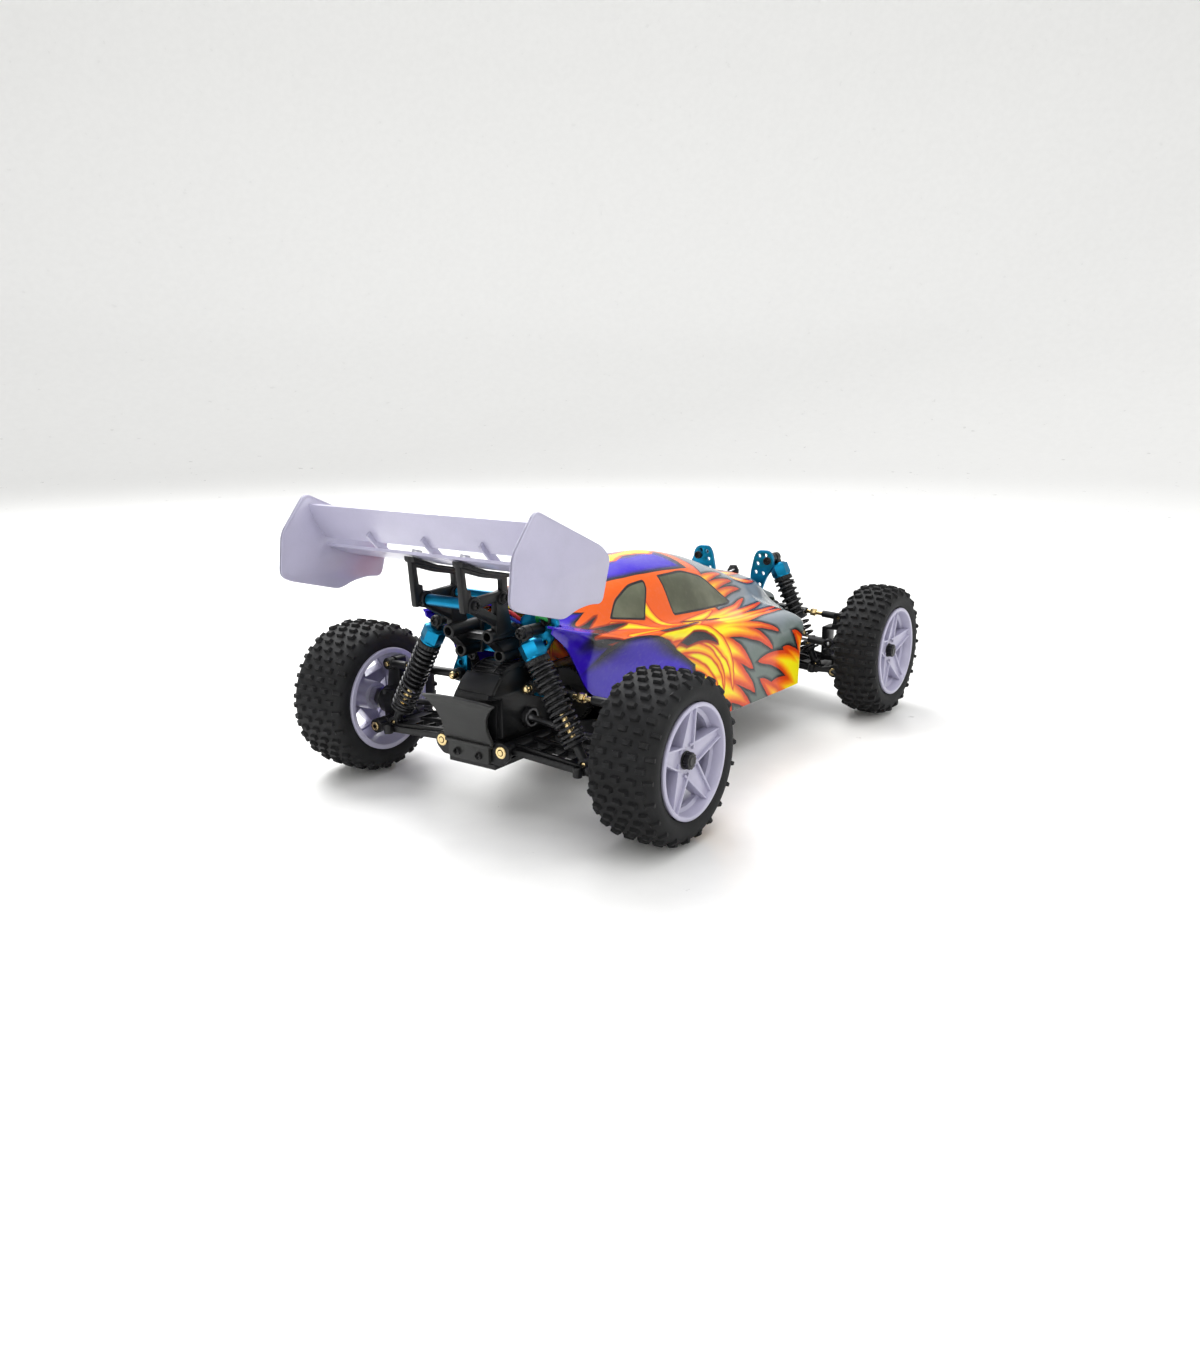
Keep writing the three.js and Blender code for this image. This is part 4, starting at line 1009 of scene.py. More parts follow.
def upper_link(end):
    """The black ends of the upper link, and its steel with the two balls."""
    matrix = along_link(end.link_x, end.link_inner, end.link_outer)
    length = (end.link_outer - end.link_inner).length
    black = together(
        eye(2.4, 1.9, 2.0, 3.35, (0, 0, 0), 28),
        eye(2.4, 1.9, 2.0, 3.35, (0, length, 0), 28),
        turned("y", [(2.6, 0), (2.6, 2.0), (5, 2.4), (length - 26, 2.4), (length - 25.4, 1.9),
                     (length - 25.4, 0)], steps=20),
        turned("y", [(length - 14, 0), (length - 14, 1.9), (length - 13.4, 2.4), (length - 5, 2.4),
                     (length - 2.6, 2.0), (length - 2.6, 0)], steps=20),
    ).placed(matrix)
    hexes = together(
        nut("y", 4.6, length - 22.6, length - 18.6),
        rod("y", (0, 0, 0), 1.45, length - 27, length - 13, 0.1, 16),
        ball((0, 0, 0), 2.2),
        ball((0, length, 0), 2.2),
        rod("x", (0, 0, 0), 1.3, -3.4, 3.4, 0.2, 16),
        rod("x", (0, length, 0), 1.3, -3.1, 3.1, 0.2, 16),
    ).placed(matrix)
    return black, hexes


def drive_shaft(end):
    """A dogbone: a bar with a ball and a cross pin at each end."""
    outer = Vector((end.joint_y, end.wheel_z))
    matrix = along_link(end.x, end.cup, outer)
    length = (outer - end.cup).length
    pin = rod("z", (0, 0, 0), 0.9, -3.4, 3.4, 0.2, 12)
    return together(
        turned("y", [(-3.0, 0), (-2.4, 1.8), (-1, 2.9), (1, 2.9), (2.4, 2.0), (4, 1.75),
                     (length - 4, 1.75), (length - 2.4, 2.0), (length - 1, 2.9), (length + 1, 2.9),
                     (length + 2.4, 1.8), (length + 3, 0)], steps=24),
        pin,
        pin.moved(0, length, 0),
    ).placed(matrix)


def rear_carrier():
    """The upright, its two webs and the bearing housing of a rear wheel."""
    pin_y, pin_z = REAR.arm_outer
    link_y, link_z = REAR.link_outer
    x = REAR.x
    upright = rounded([
        (73.5, pin_z + 2), (82, pin_z + 2), (84, 40), (84, 54), (link_y + 4, link_z - 2),
        (link_y + 3, link_z + 3.4), (link_y - 3, link_z + 3.4), (link_y - 4, link_z - 4), (74, 52),
    ], 2.0)
    web = rounded([(74, 34), (82, 34), (83, 52), (74, 52)], 1.5)
    return together(
        tube("x", (x, pin_y, pin_z), 4.1, 1.2, -REAR.ear_inner + 0.5, REAR.ear_inner - 0.5),
        plate("x", upright, x - 1.8, x + 5),
        plate("x", web, x - 7, x - 4.6),
        plate("x", web, x + 6, x + 8.2),
        turned("y", [(74.4, 5.6), (74.4, 9.0), (74.8, 9.5), (80, 9.5), (81, 8.4), (85.6, 8.2),
                     (86, 7.8), (86, 2.9), (83, 2.9), (83, 5.6)], (x, 0, REAR.wheel_z), 40),
    )


def bearing(end, y0, y1):
    """The outer ring of the ball bearing at the mouth of the hub."""
    return tube("y", (end.x, 0, end.wheel_z), 5.5, 4.6, y0, y1, 0.1, 32)


def front_hub():
    """The C-shaped hub that holds a steering knuckle between its two arms."""
    pin_y, pin_z = FRONT.arm_outer
    link_y, link_z = FRONT.link_outer
    x = FRONT.x
    ear = rounded([(link_y - 4, 56), (link_y + 4.2, 56), (link_y + 3, link_z + 3.4),
                   (link_y - 3, link_z + 3.4)], 1.6)
    c_shape = rounded([
        (63, 32.8), (80.5, 32.8), (80.5, 36), (67, 36), (66.6, 38), (66.6, 52.6), (67, 54.6),
        (80.5, 54.6), (80.5, 58.4), (70.4, 58.4), (70, 56.4), (63, 56.2),
    ], 0.9)
    bore = circle((link_y, link_z), 1.3, 16)
    return together(
        tube("x", (x, pin_y, pin_z), 4.1, 1.2, -FRONT.ear_inner + 0.5, FRONT.ear_inner - 0.5),
        plate("x", rounded([(71, pin_z), (80, pin_z), (80, 34), (71, 34)], 1), x - 6, x + 6),
        plate("x", c_shape, x - 6.5, x + 6.5),
        plate("x", ear, x - 5.8, x - 3.2, [bore]),
        plate("x", ear, x + 3.2, x + 5.8, [bore]),
    )


def knuckle():
    """The steering knuckle: a bearing housing on a king pin barrel, with its arm."""
    y = FRONT.joint_y
    x = FRONT.x
    z = FRONT.wheel_z
    arm = rounded([(x - 4, 72), (x - 27, y - 3), (x - 27, y + 3), (x - 4, 81)], 2)
    return together(
        turned("y", [(71.5, 5.6), (71.5, 7), (72, 7.4), (80, 7.4), (81, 7), (86, 6.8), (86, 2.9),
                     (83, 2.9), (83, 5.6)], (x, 0, z), 36),
        rod("z", (x, y, 0), 4.1, 36.4, 54.2, 0.4),
        plate("z", arm, 41.5, 45, [circle((x - 24, y), 1.4, 16)]),
    )


def king_pins():
    """The king pin, and the socket screw over it."""
    y = FRONT.joint_y
    return together(
        rod("z", (FRONT.x, y, 0), 1.5, 33.2, 57.6, 0.1, 16),
        screw_head(2.6, 1.6, 1.2).spun(-90, "Y").moved(FRONT.x, y, 58.4),
    )


def add_corner(end):
    """Everything that moves at the two wheels of one end."""
    shock_place, shock_length = shock_frame(end)
    link_black, link_steel = upper_link(end)
    rear = end is REAR
    hub_body, bearing_body = ("hub_carrier",) * 2 if rear else ("c_hub", "knuckle")
    # Each is a name, a form, its body, its material, its slot and the CAD node that it replaces.
    parts = [
        ("pin_tyre", tyre(end), "wheel", "tyre_rubber", None, "tyre"),
        ("spoked_rim", rim(end), "wheel", "lavender_plastic", None, "rim"),
        ("wheel_nut", wheel_nut(end), "wheel", "black_plastic", None, None),
        ("stub_axle", stub_axle(end), "wheel", "steel", None, "axle"),
        ("shock_cylinder", shock_cylinder().placed(shock_place), "shock_body", "black_plastic",
         None, "shock_body"),
        ("shock_cap", shock_cap().placed(shock_place), "shock_body", "blue_aluminium", None, None),
        ("shock_shaft", shock_shaft(shock_length).placed(shock_place), "shock_rod", "brass",
         None, "shock_rod"),
        ("shock_foot", shock_foot(shock_length).placed(shock_place), "shock_rod", "black_plastic",
         None, None),
        ("ribbed_arm", lower_arm(end), "lower_arm", "black_plastic", None, "lower_arm"),
        ("hinge_clips", arm_pins(end), "lower_arm", "brass", None, None),
        ("camber_link", link_black, "upper_link", "black_plastic", None, "upper_link"),
        ("turnbuckle", link_steel, "upper_link", "brass", None, None),
        ("dogbone", drive_shaft(end), "drive_shaft", "dark_steel", "steel", "drive_shaft"),
        ("hub", rear_carrier() if rear else front_hub(), hub_body, "black_plastic", None, hub_body),
        ("bearing", bearing(end, *((74.6, 76.4) if rear else (71.7, 73.4))), bearing_body,
         "dark_steel", "steel", None),
    ]
    if not rear:
        parts += [
            ("steering_knuckle", knuckle(), "knuckle", "black_plastic", None, "knuckle"),
            ("king_pins", king_pins(), "c_hub", "steel", None, None),
        ]
    coil = coil_spring(shock_length, 14 if rear else 13).placed(shock_place)
    spring_top = shock_place @ Vector((0, 0, -SPRING_TOP))
    spring_foot = shock_place @ Vector((0, 0, -shock_length + SEAT_FROM_EYE))
    for side_name, side in SIDES:
        corner = f"{end.name}_{side_name}"
        for name, form, body, material, slot, node in parts:
            nodes = [f"{corner}_{node}"] if node else ()
            piece(f"{corner}_{name}", on_side(form, side), f"{corner}_{body}", material, slot, nodes)
        spring = piece(f"{corner}_coil", on_side(coil, side), None, "spring_steel",
                       stands_for=[f"{corner}_spring"])
        top, foot = on_side(Form([spring_top, spring_foot]), side).placed(TO_ROW).points
        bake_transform(spring)


# ---- Steering ------------------------------------------------------------------------------


def add_steering():
    """A tie rod at each side, from the rack to the knuckle's arm."""
    inner = Vector(PIVOTS["tie_rod_left_tilt"]) - Vector((MID_X, 0, 0))
    outer = Vector((FRONT.x - 24, FRONT.joint_y, 49))
    along = outer - inner
    turn = Vector((0, 1, 0)).rotation_difference(along.normalized()).to_matrix().to_4x4()
    matrix = Matrix.Translation(inner) @ turn
    length = along.length
    black = together(
        eye(2.1, 1.7, 2.0, 3.2, (0, 0, 0), 24),
        eye(2.1, 1.7, 2.0, 3.2, (0, length, 0), 24),
        turned("y", [(2.4, 0), (2.4, 1.9), (4, 2.3), (14, 2.3), (14.5, 1.8), (14.5, 0)], steps=18),
        turned("y", [(length - 14.5, 0), (length - 14.5, 1.8), (length - 14, 2.3), (length - 4, 2.3),
                     (length - 2.4, 1.9), (length - 2.4, 0)], steps=18),
    ).placed(matrix)
    steel = together(
        rod("y", (0, 0, 0), 1.45, 12, length - 12, 0.1, 16),
        nut("y", 4.4, length / 2 - 2.5, length / 2 + 2.5),
        ball((0, 0, 0), 2.1),
        ball((0, length, 0), 2.1),
    ).placed(matrix)
    for side_name, side in SIDES:
        name = f"tie_rod_{side_name}"
        piece(f"{name}_ends", on_side(black, side), name, "black_plastic", stands_for=[name])
        piece(f"{name}_bar", on_side(steel, side), name, "steel")


# ---- Gear cases, towers and posts ----------------------------------------------------------

CASE_FLOOR = 29.3
REAR_TOWER_XS = (-140, -137)
FRONT_TOWER_XS = (116.5, 119.5)
REAR_POST_X = -131
FRONT_POST_X = 118


def arc(centre, radius, first, last, steps=20):
    return [(centre[0] + radius * math.cos(math.radians(first + (last - first) * k / steps)),
             centre[1] + radius * math.sin(math.radians(first + (last - first) * k / steps)))
            for k in range(steps + 1)]


def hinge_plates(end):
    """The plates in front of and behind the lower arms, which hold their hinge pins."""
    pin_y, pin_z = end.arm_inner
    outline = mirrored([(0, CASE_FLOOR), (pin_y, CASE_FLOOR), (pin_y + 5, pin_z - 3),
                        (pin_y + 5, pin_z + 3), (pin_y, pin_z + 5), (0, pin_z + 5)])
    near, far = ARM_HALF + 0.3, ARM_HALF + 3
    return together(plate("x", rounded(outline, 2.0), end.x - far, end.x - near),
                    plate("x", rounded(outline, 2.0), end.x + near, end.x + far))


def hinge_rings(end):
    """Brass bushes and the ends of the hinge pins at the plates."""
    pin_y, pin_z = end.arm_inner
    behind = end.x - ARM_HALF - 4.0
    ring = tube("x", (behind, pin_y, pin_z), 3.3, 1.9, 0, 1.2, 0.3, 28)
    tip = rod("x", (behind - 0.4, pin_y, pin_z), 1.5, 0, 2, 0.2, 16)
    front = tube("x", (end.x + ARM_HALF + 3, pin_y, pin_z), 2.6, 1.3, 0, 1.0, 0.2, 24)
    return both(together(ring, tip, front))


def outdrive_cups(end):
    cup = [(14, 0), (14, 4.6), (15, 5.4), (21, 5.4), (21.5, 5), (21.5, 3.9), (15.5, 3.9), (15.5, 0)]
    return both(turned("y", cup, (end.x, 0, end.cup.y), 32))


def rear_gearbox():
    """The rear gear case with the banded drum over its ring gear, and the tower's bracket."""
    x = REAR.x
    centre = (-148, 56)
    housing = rounded([(x - 22.3, CASE_FLOOR), (x + 24, CASE_FLOOR), (x + 24, 56), (x + 14, 70),
                       (x - 12, 72), (x - 22.3, 60)], 4)
    drum = [(centre[0] + 25, 43)] + arc(centre, 25, 0, 148)
    drum += [(-170.9, 67.6), (-171.4, 66.2), (-168, 65), (-160, 64), (-160, 43)]
    forms = [plate("y", housing, -15.5, 15.5, edge=1.0), plate("y", drum, -18.4, 0.4, edge=0.8)]
    band = arc(centre, 25.6, 8, 120) + arc(centre, 23, 8, 120)[::-1]
    for y in (-18.9, -13.4, 0.9):
        forms.append(plate("y", band, y - 0.5, y + 0.5, edge=0.2))
    lip = arc(centre, 26, 124, 150, 8) + arc(centre, 23.6, 124, 150, 8)[::-1]
    forms.append(plate("y", rounded(lip, 0.3, 1), -20.5, 2.5, edge=0.3))
    for rib_x, rib_z in arc(centre, 24.9, 96, 120, 3):
        forms.append(rod("y", (rib_x, 0, rib_z), 0.5, -18.2, 0.2, 0.1, 10))
    bracket = rounded([(-32, 61), (32, 61), (32, 76), (24, 76), (20, 70), (-20, 70), (-24, 76),
                       (-32, 76)], 1.6)
    forms.append(plate("x", bracket, x + 2.3, x + 10))
    forms.append(tube("x", (0, 0, 46), 6, 3.2, x + 20, x + 29))
    for y, z in ((10.5, 58), (10.5, 36), (-12, 34)):
        forms.append(tube("x", (x - 24.2, y, z), 2.6, 1.3, 0, 4))
    return together(*forms, hinge_plates(REAR))


def front_gearbox():
    """The front gear case with its seam, and the tower's bracket."""
    x = FRONT.x
    housing = rounded([(x - 22.3, CASE_FLOOR), (x + 22.3, CASE_FLOOR), (x + 22.3, 44), (x + 9, 62),
                       (x - 12, 62), (x - 22.3, 54)], 4)
    bracket = rounded([(-18.9, 60), (18.9, 60), (18.9, 69), (12, 69), (9, 64), (-9, 64), (-12, 69),
                       (-18.9, 69)], 1.4)
    back = rounded([(-15.5, 50), (15.5, 50), (15.5, 72), (-15.5, 72)], 2)
    seam = [(x - 22.6, -15.8), (x + 22.6, -15.8), (x + 22.6, 15.8), (x - 22.6, 15.8)]
    return together(
        plate("y", housing, -15.5, 15.5, edge=1.0),
        plate("x", bracket, x - 4.5, x + 4.5),
        plate("x", back, x - 22.3, x - 19.8),
        tube("x", (0, 0, 46), 6, 3.2, x - 26.6, x - 20),
        plate("z", rounded(seam, 2), 43.2, 44.4, edge=0.3),
        hinge_plates(FRONT),
    )


def rear_tower():
    outline = mirrored([(0, 82.6), (19.5, 82.6), (22.8, 80), (22.8, 62.5), (31, 62.5), (33.5, 69),
                        (29.5, 77), (29.5, 85), (38, 97), (39.5, 104), (33, 108.5), (20, 106.5),
                        (12, 100.5), (0, 100.5)])
    holes = []
    for sign in (1, -1):
        for y, z in ((34.5, 101), (31.5, 92), (21, 96), (25.5, 88), (27.5, 73.5)):
            holes.append(circle((sign * y, z), 1.4, 18))
        slot = [(sign * 6, 86), (sign * 16, 86), (sign * 16, 91), (sign * 6, 91)]
        holes.append(rounded(slot, 2))
    return plate("x", rounded(outline, 2.2), *REAR_TOWER_XS, holes, 0.4)


def front_tower():
    outline = mirrored([(0, 56), (20, 56), (24, 64), (21, 74), (26, 88), (31.5, 97), (31.5, 104),
                        (28, 108), (19.5, 108), (17, 104), (14.4, 92), (14.4, 80), (12, 76),
                        (0, 76)])
    holes = []
    for sign in (1, -1):
        for y, z in ((20.8, 104), (25.6, 104.6), (19.6, 98.6), (18.4, 92.6), (24, 92), (21.5, 84)):
            holes.append(circle((sign * y, z), 1.35, 18))
    return plate("x", rounded(outline, 2.4), *FRONT_TOWER_XS, holes, 0.4)


def tower_screws():
    """Black screws and spacers at the shocks, and screws on the towers, seen from behind."""
    back, front = REAR_TOWER_XS[0], FRONT_TOWER_XS[0]
    head = screw_head(2.9, 2.0).spun(180, "Z")
    y, z = REAR.shock_top
    forms = [
        head.moved(REAR.shock_x - 2.6, y, z),
        rod("x", (REAR.shock_x, y, z), 1.5, -2.5, 13, 0.1, 16),
        tube("x", (0, y, z), 3.2, 1.4, REAR.shock_x + 2.8, back + 0.1),
    ]
    forms += [head.moved(back - 0.1, y, z) for y, z in ((17.5, 79.5), (26.5, 80.5), (33, 104))]
    head = screw_head(2.7, 1.9).spun(180, "Z")
    y, z = FRONT.shock_top
    forms += [
        rod("x", (0, y, z), 3, 119.4, FRONT.shock_x - 2.8, 0.3),
        rod("x", (0, y, z), 1.5, FRONT.shock_x - 3, FRONT.shock_x + 4, 0.2, 16),
        head.moved(front, y - 0.5, z - 1.5),
        head.moved(front, 17.5, 70),
    ]
    return both(together(*forms))


def tower_studs():
    """Brass ball studs behind the rear tower."""
    y, z = REAR.link_inner
    return both(together(
        ball((REAR.link_x - 4.6, y, z), 2.3),
        rod("x", (0, y, z), 1.2, REAR.link_x - 5, -137.5),
        ball((-143.2, 24.8, 66.5), 2.2),
        rod("x", (0, 24.8, 66.5), 1.1, -143, -139.5, 0.1, 12),
    ))


def body_posts():
    front = [(73.5, 0), (73.5, 4.2), (76, 4.2), (77, 2.3), (88.6, 2.3), (89, 3.7), (90.6, 4.1),
             (92.4, 4.1), (93.6, 3.4), (95.6, 2.4), (95.8, 0)]
    return together(
        rod("z", (REAR_POST_X, 0, 0), 2.3, 86, 115.6, 0.6),
        block((-137.4, -128.5), (-4, 4), (86, 92)),
        turned("z", front, (FRONT_POST_X, 0, 0), 28),
    )


def r_clip(place, turn):
    """A body clip: a loop of spring wire with one straight leg and one wavy leg."""
    loop = [(-3 - 3.2 * math.sin(t), 0, 3.2 * math.cos(t)) for t in (
        math.pi * k / 10 for k in range(11))]
    straight = [(12, 0, 1.1), (4, 0, 1.3)]
    wavy = [(4, 0, -3.0), (7, 0, -1.0), (10, 0, 0.2), (13, 0, -1.2), (15.5, 0, -3.2)]
    path = smooth_path(straight + [(-3, 0, 3.2)] + loop[2:-2:2] + [(-3, 0, -3.2)] + wavy, 5)
    return sweep(path, 0.55, 8).spun(62, "X").spun(turn, "Z").moved(*place)


def rear_bumper():
    """A shield with hollowed sides that leans back, on a foot at the hinge plate."""
    half = [(0, 0), (15.6, 0), (16.8, 1), (15.6, 7), (15.4, 11), (17.2, 17), (20.6, 22), (24.9, 25.4),
            (17, 26.4), (0, 27)]
    shield = plate("x", rounded(mirrored(half), 1.0, 3), 0, 2.2, edge=0.6)
    shield = shield.spun(-18.4, "Y").moved(-166.6, 0, 39.6)
    foot = rounded([(-14, 29.6), (14, 29.6), (14, 41), (-14, 41)], 2)
    ledge = rounded([(-168.4, -15), (-165, -16.4), (-165, 16.4), (-168.4, 15)], 1)
    return together(shield, plate("x", foot, -166.8, -164.4), plate("z", ledge, 38.6, 40.4))


def hinge_plate_screws():
    """Screws on the rear hinge plate, under the bumper."""
    forms = [screw_head(2.1, 1.4).spun(180, "Z").moved(-167.0, y, 33.6) for y in (7.5, -7.5)]
    return together(*forms)


# ---- Wing ----------------------------------------------------------------------------------

WING_HALF = 74.4
WING_MOUNT_Y = 16
DOUBLE_TUBE_Y = 13.2
WING_SPACER_PLACES = ((-178, 116), (-156, 116.5))


def foil(top, bottom):
    """A closed wing section through its upper and lower points."""
    upper = smooth_path([(x, 0, z) for x, z in top], 6)
    lower = smooth_path([(x, 0, z) for x, z in bottom], 6)
    return [(p.x, p.z) for p in upper + lower]


def rear_wing():
    """The flap, the main plane, the three fins between them and the two end plates."""
    flap = foil([(-199, 162), (-196.3, 155.8), (-192.6, 149.6), (-188.4, 144.3)],
                [(-186.9, 145.2), (-190.6, 150.6), (-194.2, 156.6), (-197.4, 162.5)])
    plane = foil([(-188, 141.4), (-178, 138.4), (-166, 135), (-153, 132.2), (-149.8, 130.8)],
                 [(-152, 129.4), (-165, 132), (-178, 135.8), (-188, 139.8)])
    forms = [plate("y", section, -WING_HALF, WING_HALF, edge=0.3) for section in (flap, plane)]
    fin = rounded([(-195.2, 148), (-192.6, 150.2), (-186.6, 146), (-178.4, 138), (-186, 139)], 0.8)
    for y in (0, 37, -37):
        forms.append(plate("y", fin, y - 0.8, y + 0.8, edge=0.3))
    outline = rounded([(-200.7, 168), (-217, 149.4), (-219.8, 128), (-214, 124.6), (-181.6, 115.9),
                       (-171, 119.1), (-160.3, 119.9), (-150.8, 118.6), (-143.6, 140.1),
                       (-150.5, 146.5)], 4.0, 6)
    band = [(x + (-181 - x) * 0.035, z + (139 - z) * 0.06) for x, z in outline]
    for middle in (WING_HALF, -WING_HALF):
        forms.append(plate("y", outline, middle - 0.85, middle + 0.85, edge=0.35))
        forms.append(plate("y", outline, middle - 0.88, middle + 0.88, [band], 0.3))
    return together(*forms)


def wing_screws():
    forms = []
    for y in (16, -16):
        for x, z in ((-181.6, 139.9), (-159.5, 134.2)):
            forms.append(screw_head(2.6, 1.5).spun(-90, "Y").spun(16, "Y").moved(x, y, z))
            forms.append(tube("z", (x, y, z - 0.6), 3.4, 1.2, 0, 0.7, 0.2, 24))
    return together(*forms)


def wing_mount():
    """Two window-frame uprights, their struts, and the double tubes behind the tower."""
    y = WING_MOUNT_Y
    upright = rounded([(-187.6, 138.9), (-185.4, 112.5), (-152, 116), (-152, 128.6),
                       (-170, 132.6)], 1.6)
    window = rounded([(-183.6, 132.9), (-182.4, 124), (-179.8, 123.6), (-179.6, 119.1),
                      (-156.4, 120.2), (-156.4, 125.8), (-170, 128.6)], 0.9)
    pad = rounded([(-187.6, 138.9), (-187.2, 135.8), (-170, 130.2), (-152, 126.4), (-152, 128.6),
                   (-170, 132.6)], 0.8)
    strut_rear = rounded([(-184, 115), (-178, 118), (-146, 99.6), (-150, 96.4)], 1.0)
    strut_front = rounded([(-161, 97), (-160, 118), (-153, 118), (-148, 98)], 1.2)
    left = [
        plate("y", upright, y - 1.6, y + 1.6, [window], 0.4),
        plate("y", pad, y - 3.4, y + 3.4, edge=0.5),
        plate("y", strut_rear, y - 2.6, y + 0.8),
        plate("y", strut_front, y - 2.8, y + 1.0),
    ]
    for (x, z), radius in zip(WING_SPACER_PLACES, (4.4, 3.6)):
        left.append(tube("y", (x, 0, z), radius, 1.3, y - 3.0, y + 2.4, 0.5, 32))
    for z, start in ((97, -164.3), (85.4, -155.4)):
        left.append(tube("x", (0, DOUBLE_TUBE_Y, z), 3.7, 2.3, start, -140.4, 0.5, 32))
        left.append(rod("x", (0, DOUBLE_TUBE_Y, z), 2.5, start + 9, -141, 0.2))
    waist = rounded([(-162.8, 94.6), (-155.6, 87.8), (-140.4, 87.8), (-140.4, 94.6)], 0.6)
    left.append(plate("y", waist, 9.5, 16.9, edge=0.7))
    flange = rounded([(8.6, 81.9), (17.6, 81.9), (17.6, 100.6), (8.6, 100.6)], 3)
    left.append(plate("x", flange, -143, -140.4, edge=0.5))
    bridge = rounded([(-12, 92), (12, 92), (12, 95.4), (-12, 95.4)], 1)
    return together(both(together(*left)), plate("x", bridge, -154, -147))


def wing_spacers():
    """Blue anodised tubes between the two uprights of the wing mount."""
    return together(*[rod("y", (x, 0, z), radius, -12.8, 12.8, 0.3)
                      for (x, z), radius in zip(WING_SPACER_PLACES, (2.9, 2.6))])


def wing_mount_screws():
    head = screw_head(2.4, 1.7).spun(90, "Z")
    return both(together(*[head.moved(x, WING_MOUNT_Y + 2.2, z) for x, z in WING_SPACER_PLACES]))


# ---- Body shell ----------------------------------------------------------------------------

SHELL_WALL = 1.2
# Stations along x: the crown height, then (y, z) of the roof edge, the cabin base, the waist
# ridge, the middle of the side and the lower edge.
SHELL_STATIONS = [
    (-149, 104, (20, 104), (33, 103.8), (44.5, 103), (44, 101), (43.5, 99)),
    (-134.5, 107, (22, 106), (36, 101), (47, 98.5), (43, 94), (41.5, 88.5)),
    (-117, 110, (24, 108), (39, 97), (50, 93), (45.5, 78), (44.5, 61)),
    (-87, 115.5, (27, 111.5), (42, 91.5), (55, 86.5), (47.5, 70), (48.5, 49)),
    (-60, 118.8, (29, 113), (44, 89.5), (58, 86), (53, 66), (55, 42)),
    (-38, 121.2, (31, 113.6), (45, 88.5), (60.5, 85.5), (60, 62), (61, 37)),
    (-8, 121, (32, 112), (45.5, 87.5), (64, 82), (68, 58), (70, 30)),
    (27, 115.4, (31, 106.5), (44, 86), (67.5, 78.5), (71.5, 55), (72, 30)),
    (49, 108, (29.5, 101.5), (42.5, 84.5), (70.5, 76), (73.4, 54), (73.4, 30)),
    (73, 98.6, (28, 94.6), (41, 82.5), (73.5, 73.4), (74.6, 52), (74.2, 30)),
    (80, 97.8, (27, 93.2), (40, 81), (71, 72), (70, 60), (69, 46)),
    (93, 96.2, (26, 91), (38, 79), (62, 69.6), (60, 65), (58, 60)),
    (104, 93.6, (24, 89), (35, 77), (50, 69.4), (49, 67.5), (48, 66)),
    (112, 90.4, (20, 87), (33, 75.6), (45, 69), (44.4, 67.6), (44, 66.4)),
    (115, 89.2, (5, 89), (8.5, 88), (11, 86), (12, 83), (12.4, 80.6)),
    (125, 85.8, (5, 85.6), (8.5, 85), (11, 83.6), (12, 81.4), (12.4, 80)),
    (132, 80.5, (7, 80.3), (13, 79.4), (17.5, 78), (18.8, 75.4), (19, 73)),
    (145, 75, (8, 74.8), (13.5, 74), (17.8, 73), (18.8, 71.6), (19, 70.4)),
    (153, 67, (8, 66.8), (13, 66), (16.6, 64), (17.4, 61), (17.6, 58)),
    (160, 58, (7.5, 57.8), (12, 57), (15, 55.4), (16, 52), (16.2, 49)),
    (165, 49, (7, 48.8), (10.5, 48), (13.4, 46.8), (14.2, 44), (14.4, 42)),
]


def eased_slopes(xs, ys):
    """Slopes at each point that let a cubic curve pass through without overshooting."""
    steps = [(y1 - y0) / (x1 - x0) for x0, x1, y0, y1 in zip(xs, xs[1:], ys, ys[1:])]
    slopes = [steps[0]]
    for before, after in zip(steps, steps[1:]):
        slopes.append(0.0 if before * after <= 0 else 2 * before * after / (before + after))
    return slopes + [steps[-1]]


def eased(xs, ys, slopes, x):
    """The value at x of the cubic curve through the points."""
    i = max(k for k in range(len(xs) - 1) if xs[k] <= x or k == 0)
    width = xs[i + 1] - xs[i]
    t = (x - xs[i]) / width
    return ((1 + 2 * t) * (1 - t) ** 2 * ys[i] + t * (1 - t) ** 2 * width * slopes[i]
            + t * t * (3 - 2 * t) * ys[i + 1] + t * t * (t - 1) * width * slopes[i + 1])


def shell_form():
    """A smooth skin through the stations, the same at both sides."""
    xs = [s[0] for s in SHELL_STATIONS]
    tracks = []
    for k in range(6):
        points = [(0.0, s[1]) if k == 0 else s[k + 1] for s in SHELL_STATIONS]
        for values in zip(*points):
            tracks.append((values, eased_slopes(xs, values)))
    stations = []
    for x0, x1 in zip(xs, xs[1:]):
        parts = max(1, round((x1 - x0) / 1.6))
        stations += [x0 + (x1 - x0) * k / parts for k in range(parts)]
    stations.append(xs[-1])
    rows = []
    for x in stations:
        values = [eased(xs, values, slopes, x) for values, slopes in tracks]
        half = [Vector((x, values[2 * k], values[2 * k + 1])) for k in range(6)]
        mirrored = [Vector((p.x, -p.y, p.z)) for p in reversed(half[1:])]
        rows.append(smooth_path(mirrored + half, 7))
    columns = len(rows[0])
    points = [p for row in rows for p in row]
    faces = []
    for i in range(len(rows) - 1):
        for j in range(columns - 1):
            a = i * columns + j
            faces.append((a, a + columns, a + columns + 1, a + 1))
    return Form(points, faces)


def applied(made, modifier):
    """Applies one modifier to a piece's mesh."""
    view = bpy.context.evaluated_depsgraph_get()
    mesh = bpy.data.meshes.new_from_object(made.evaluated_get(view))
    made.modifiers.remove(modifier)
    made.data = mesh


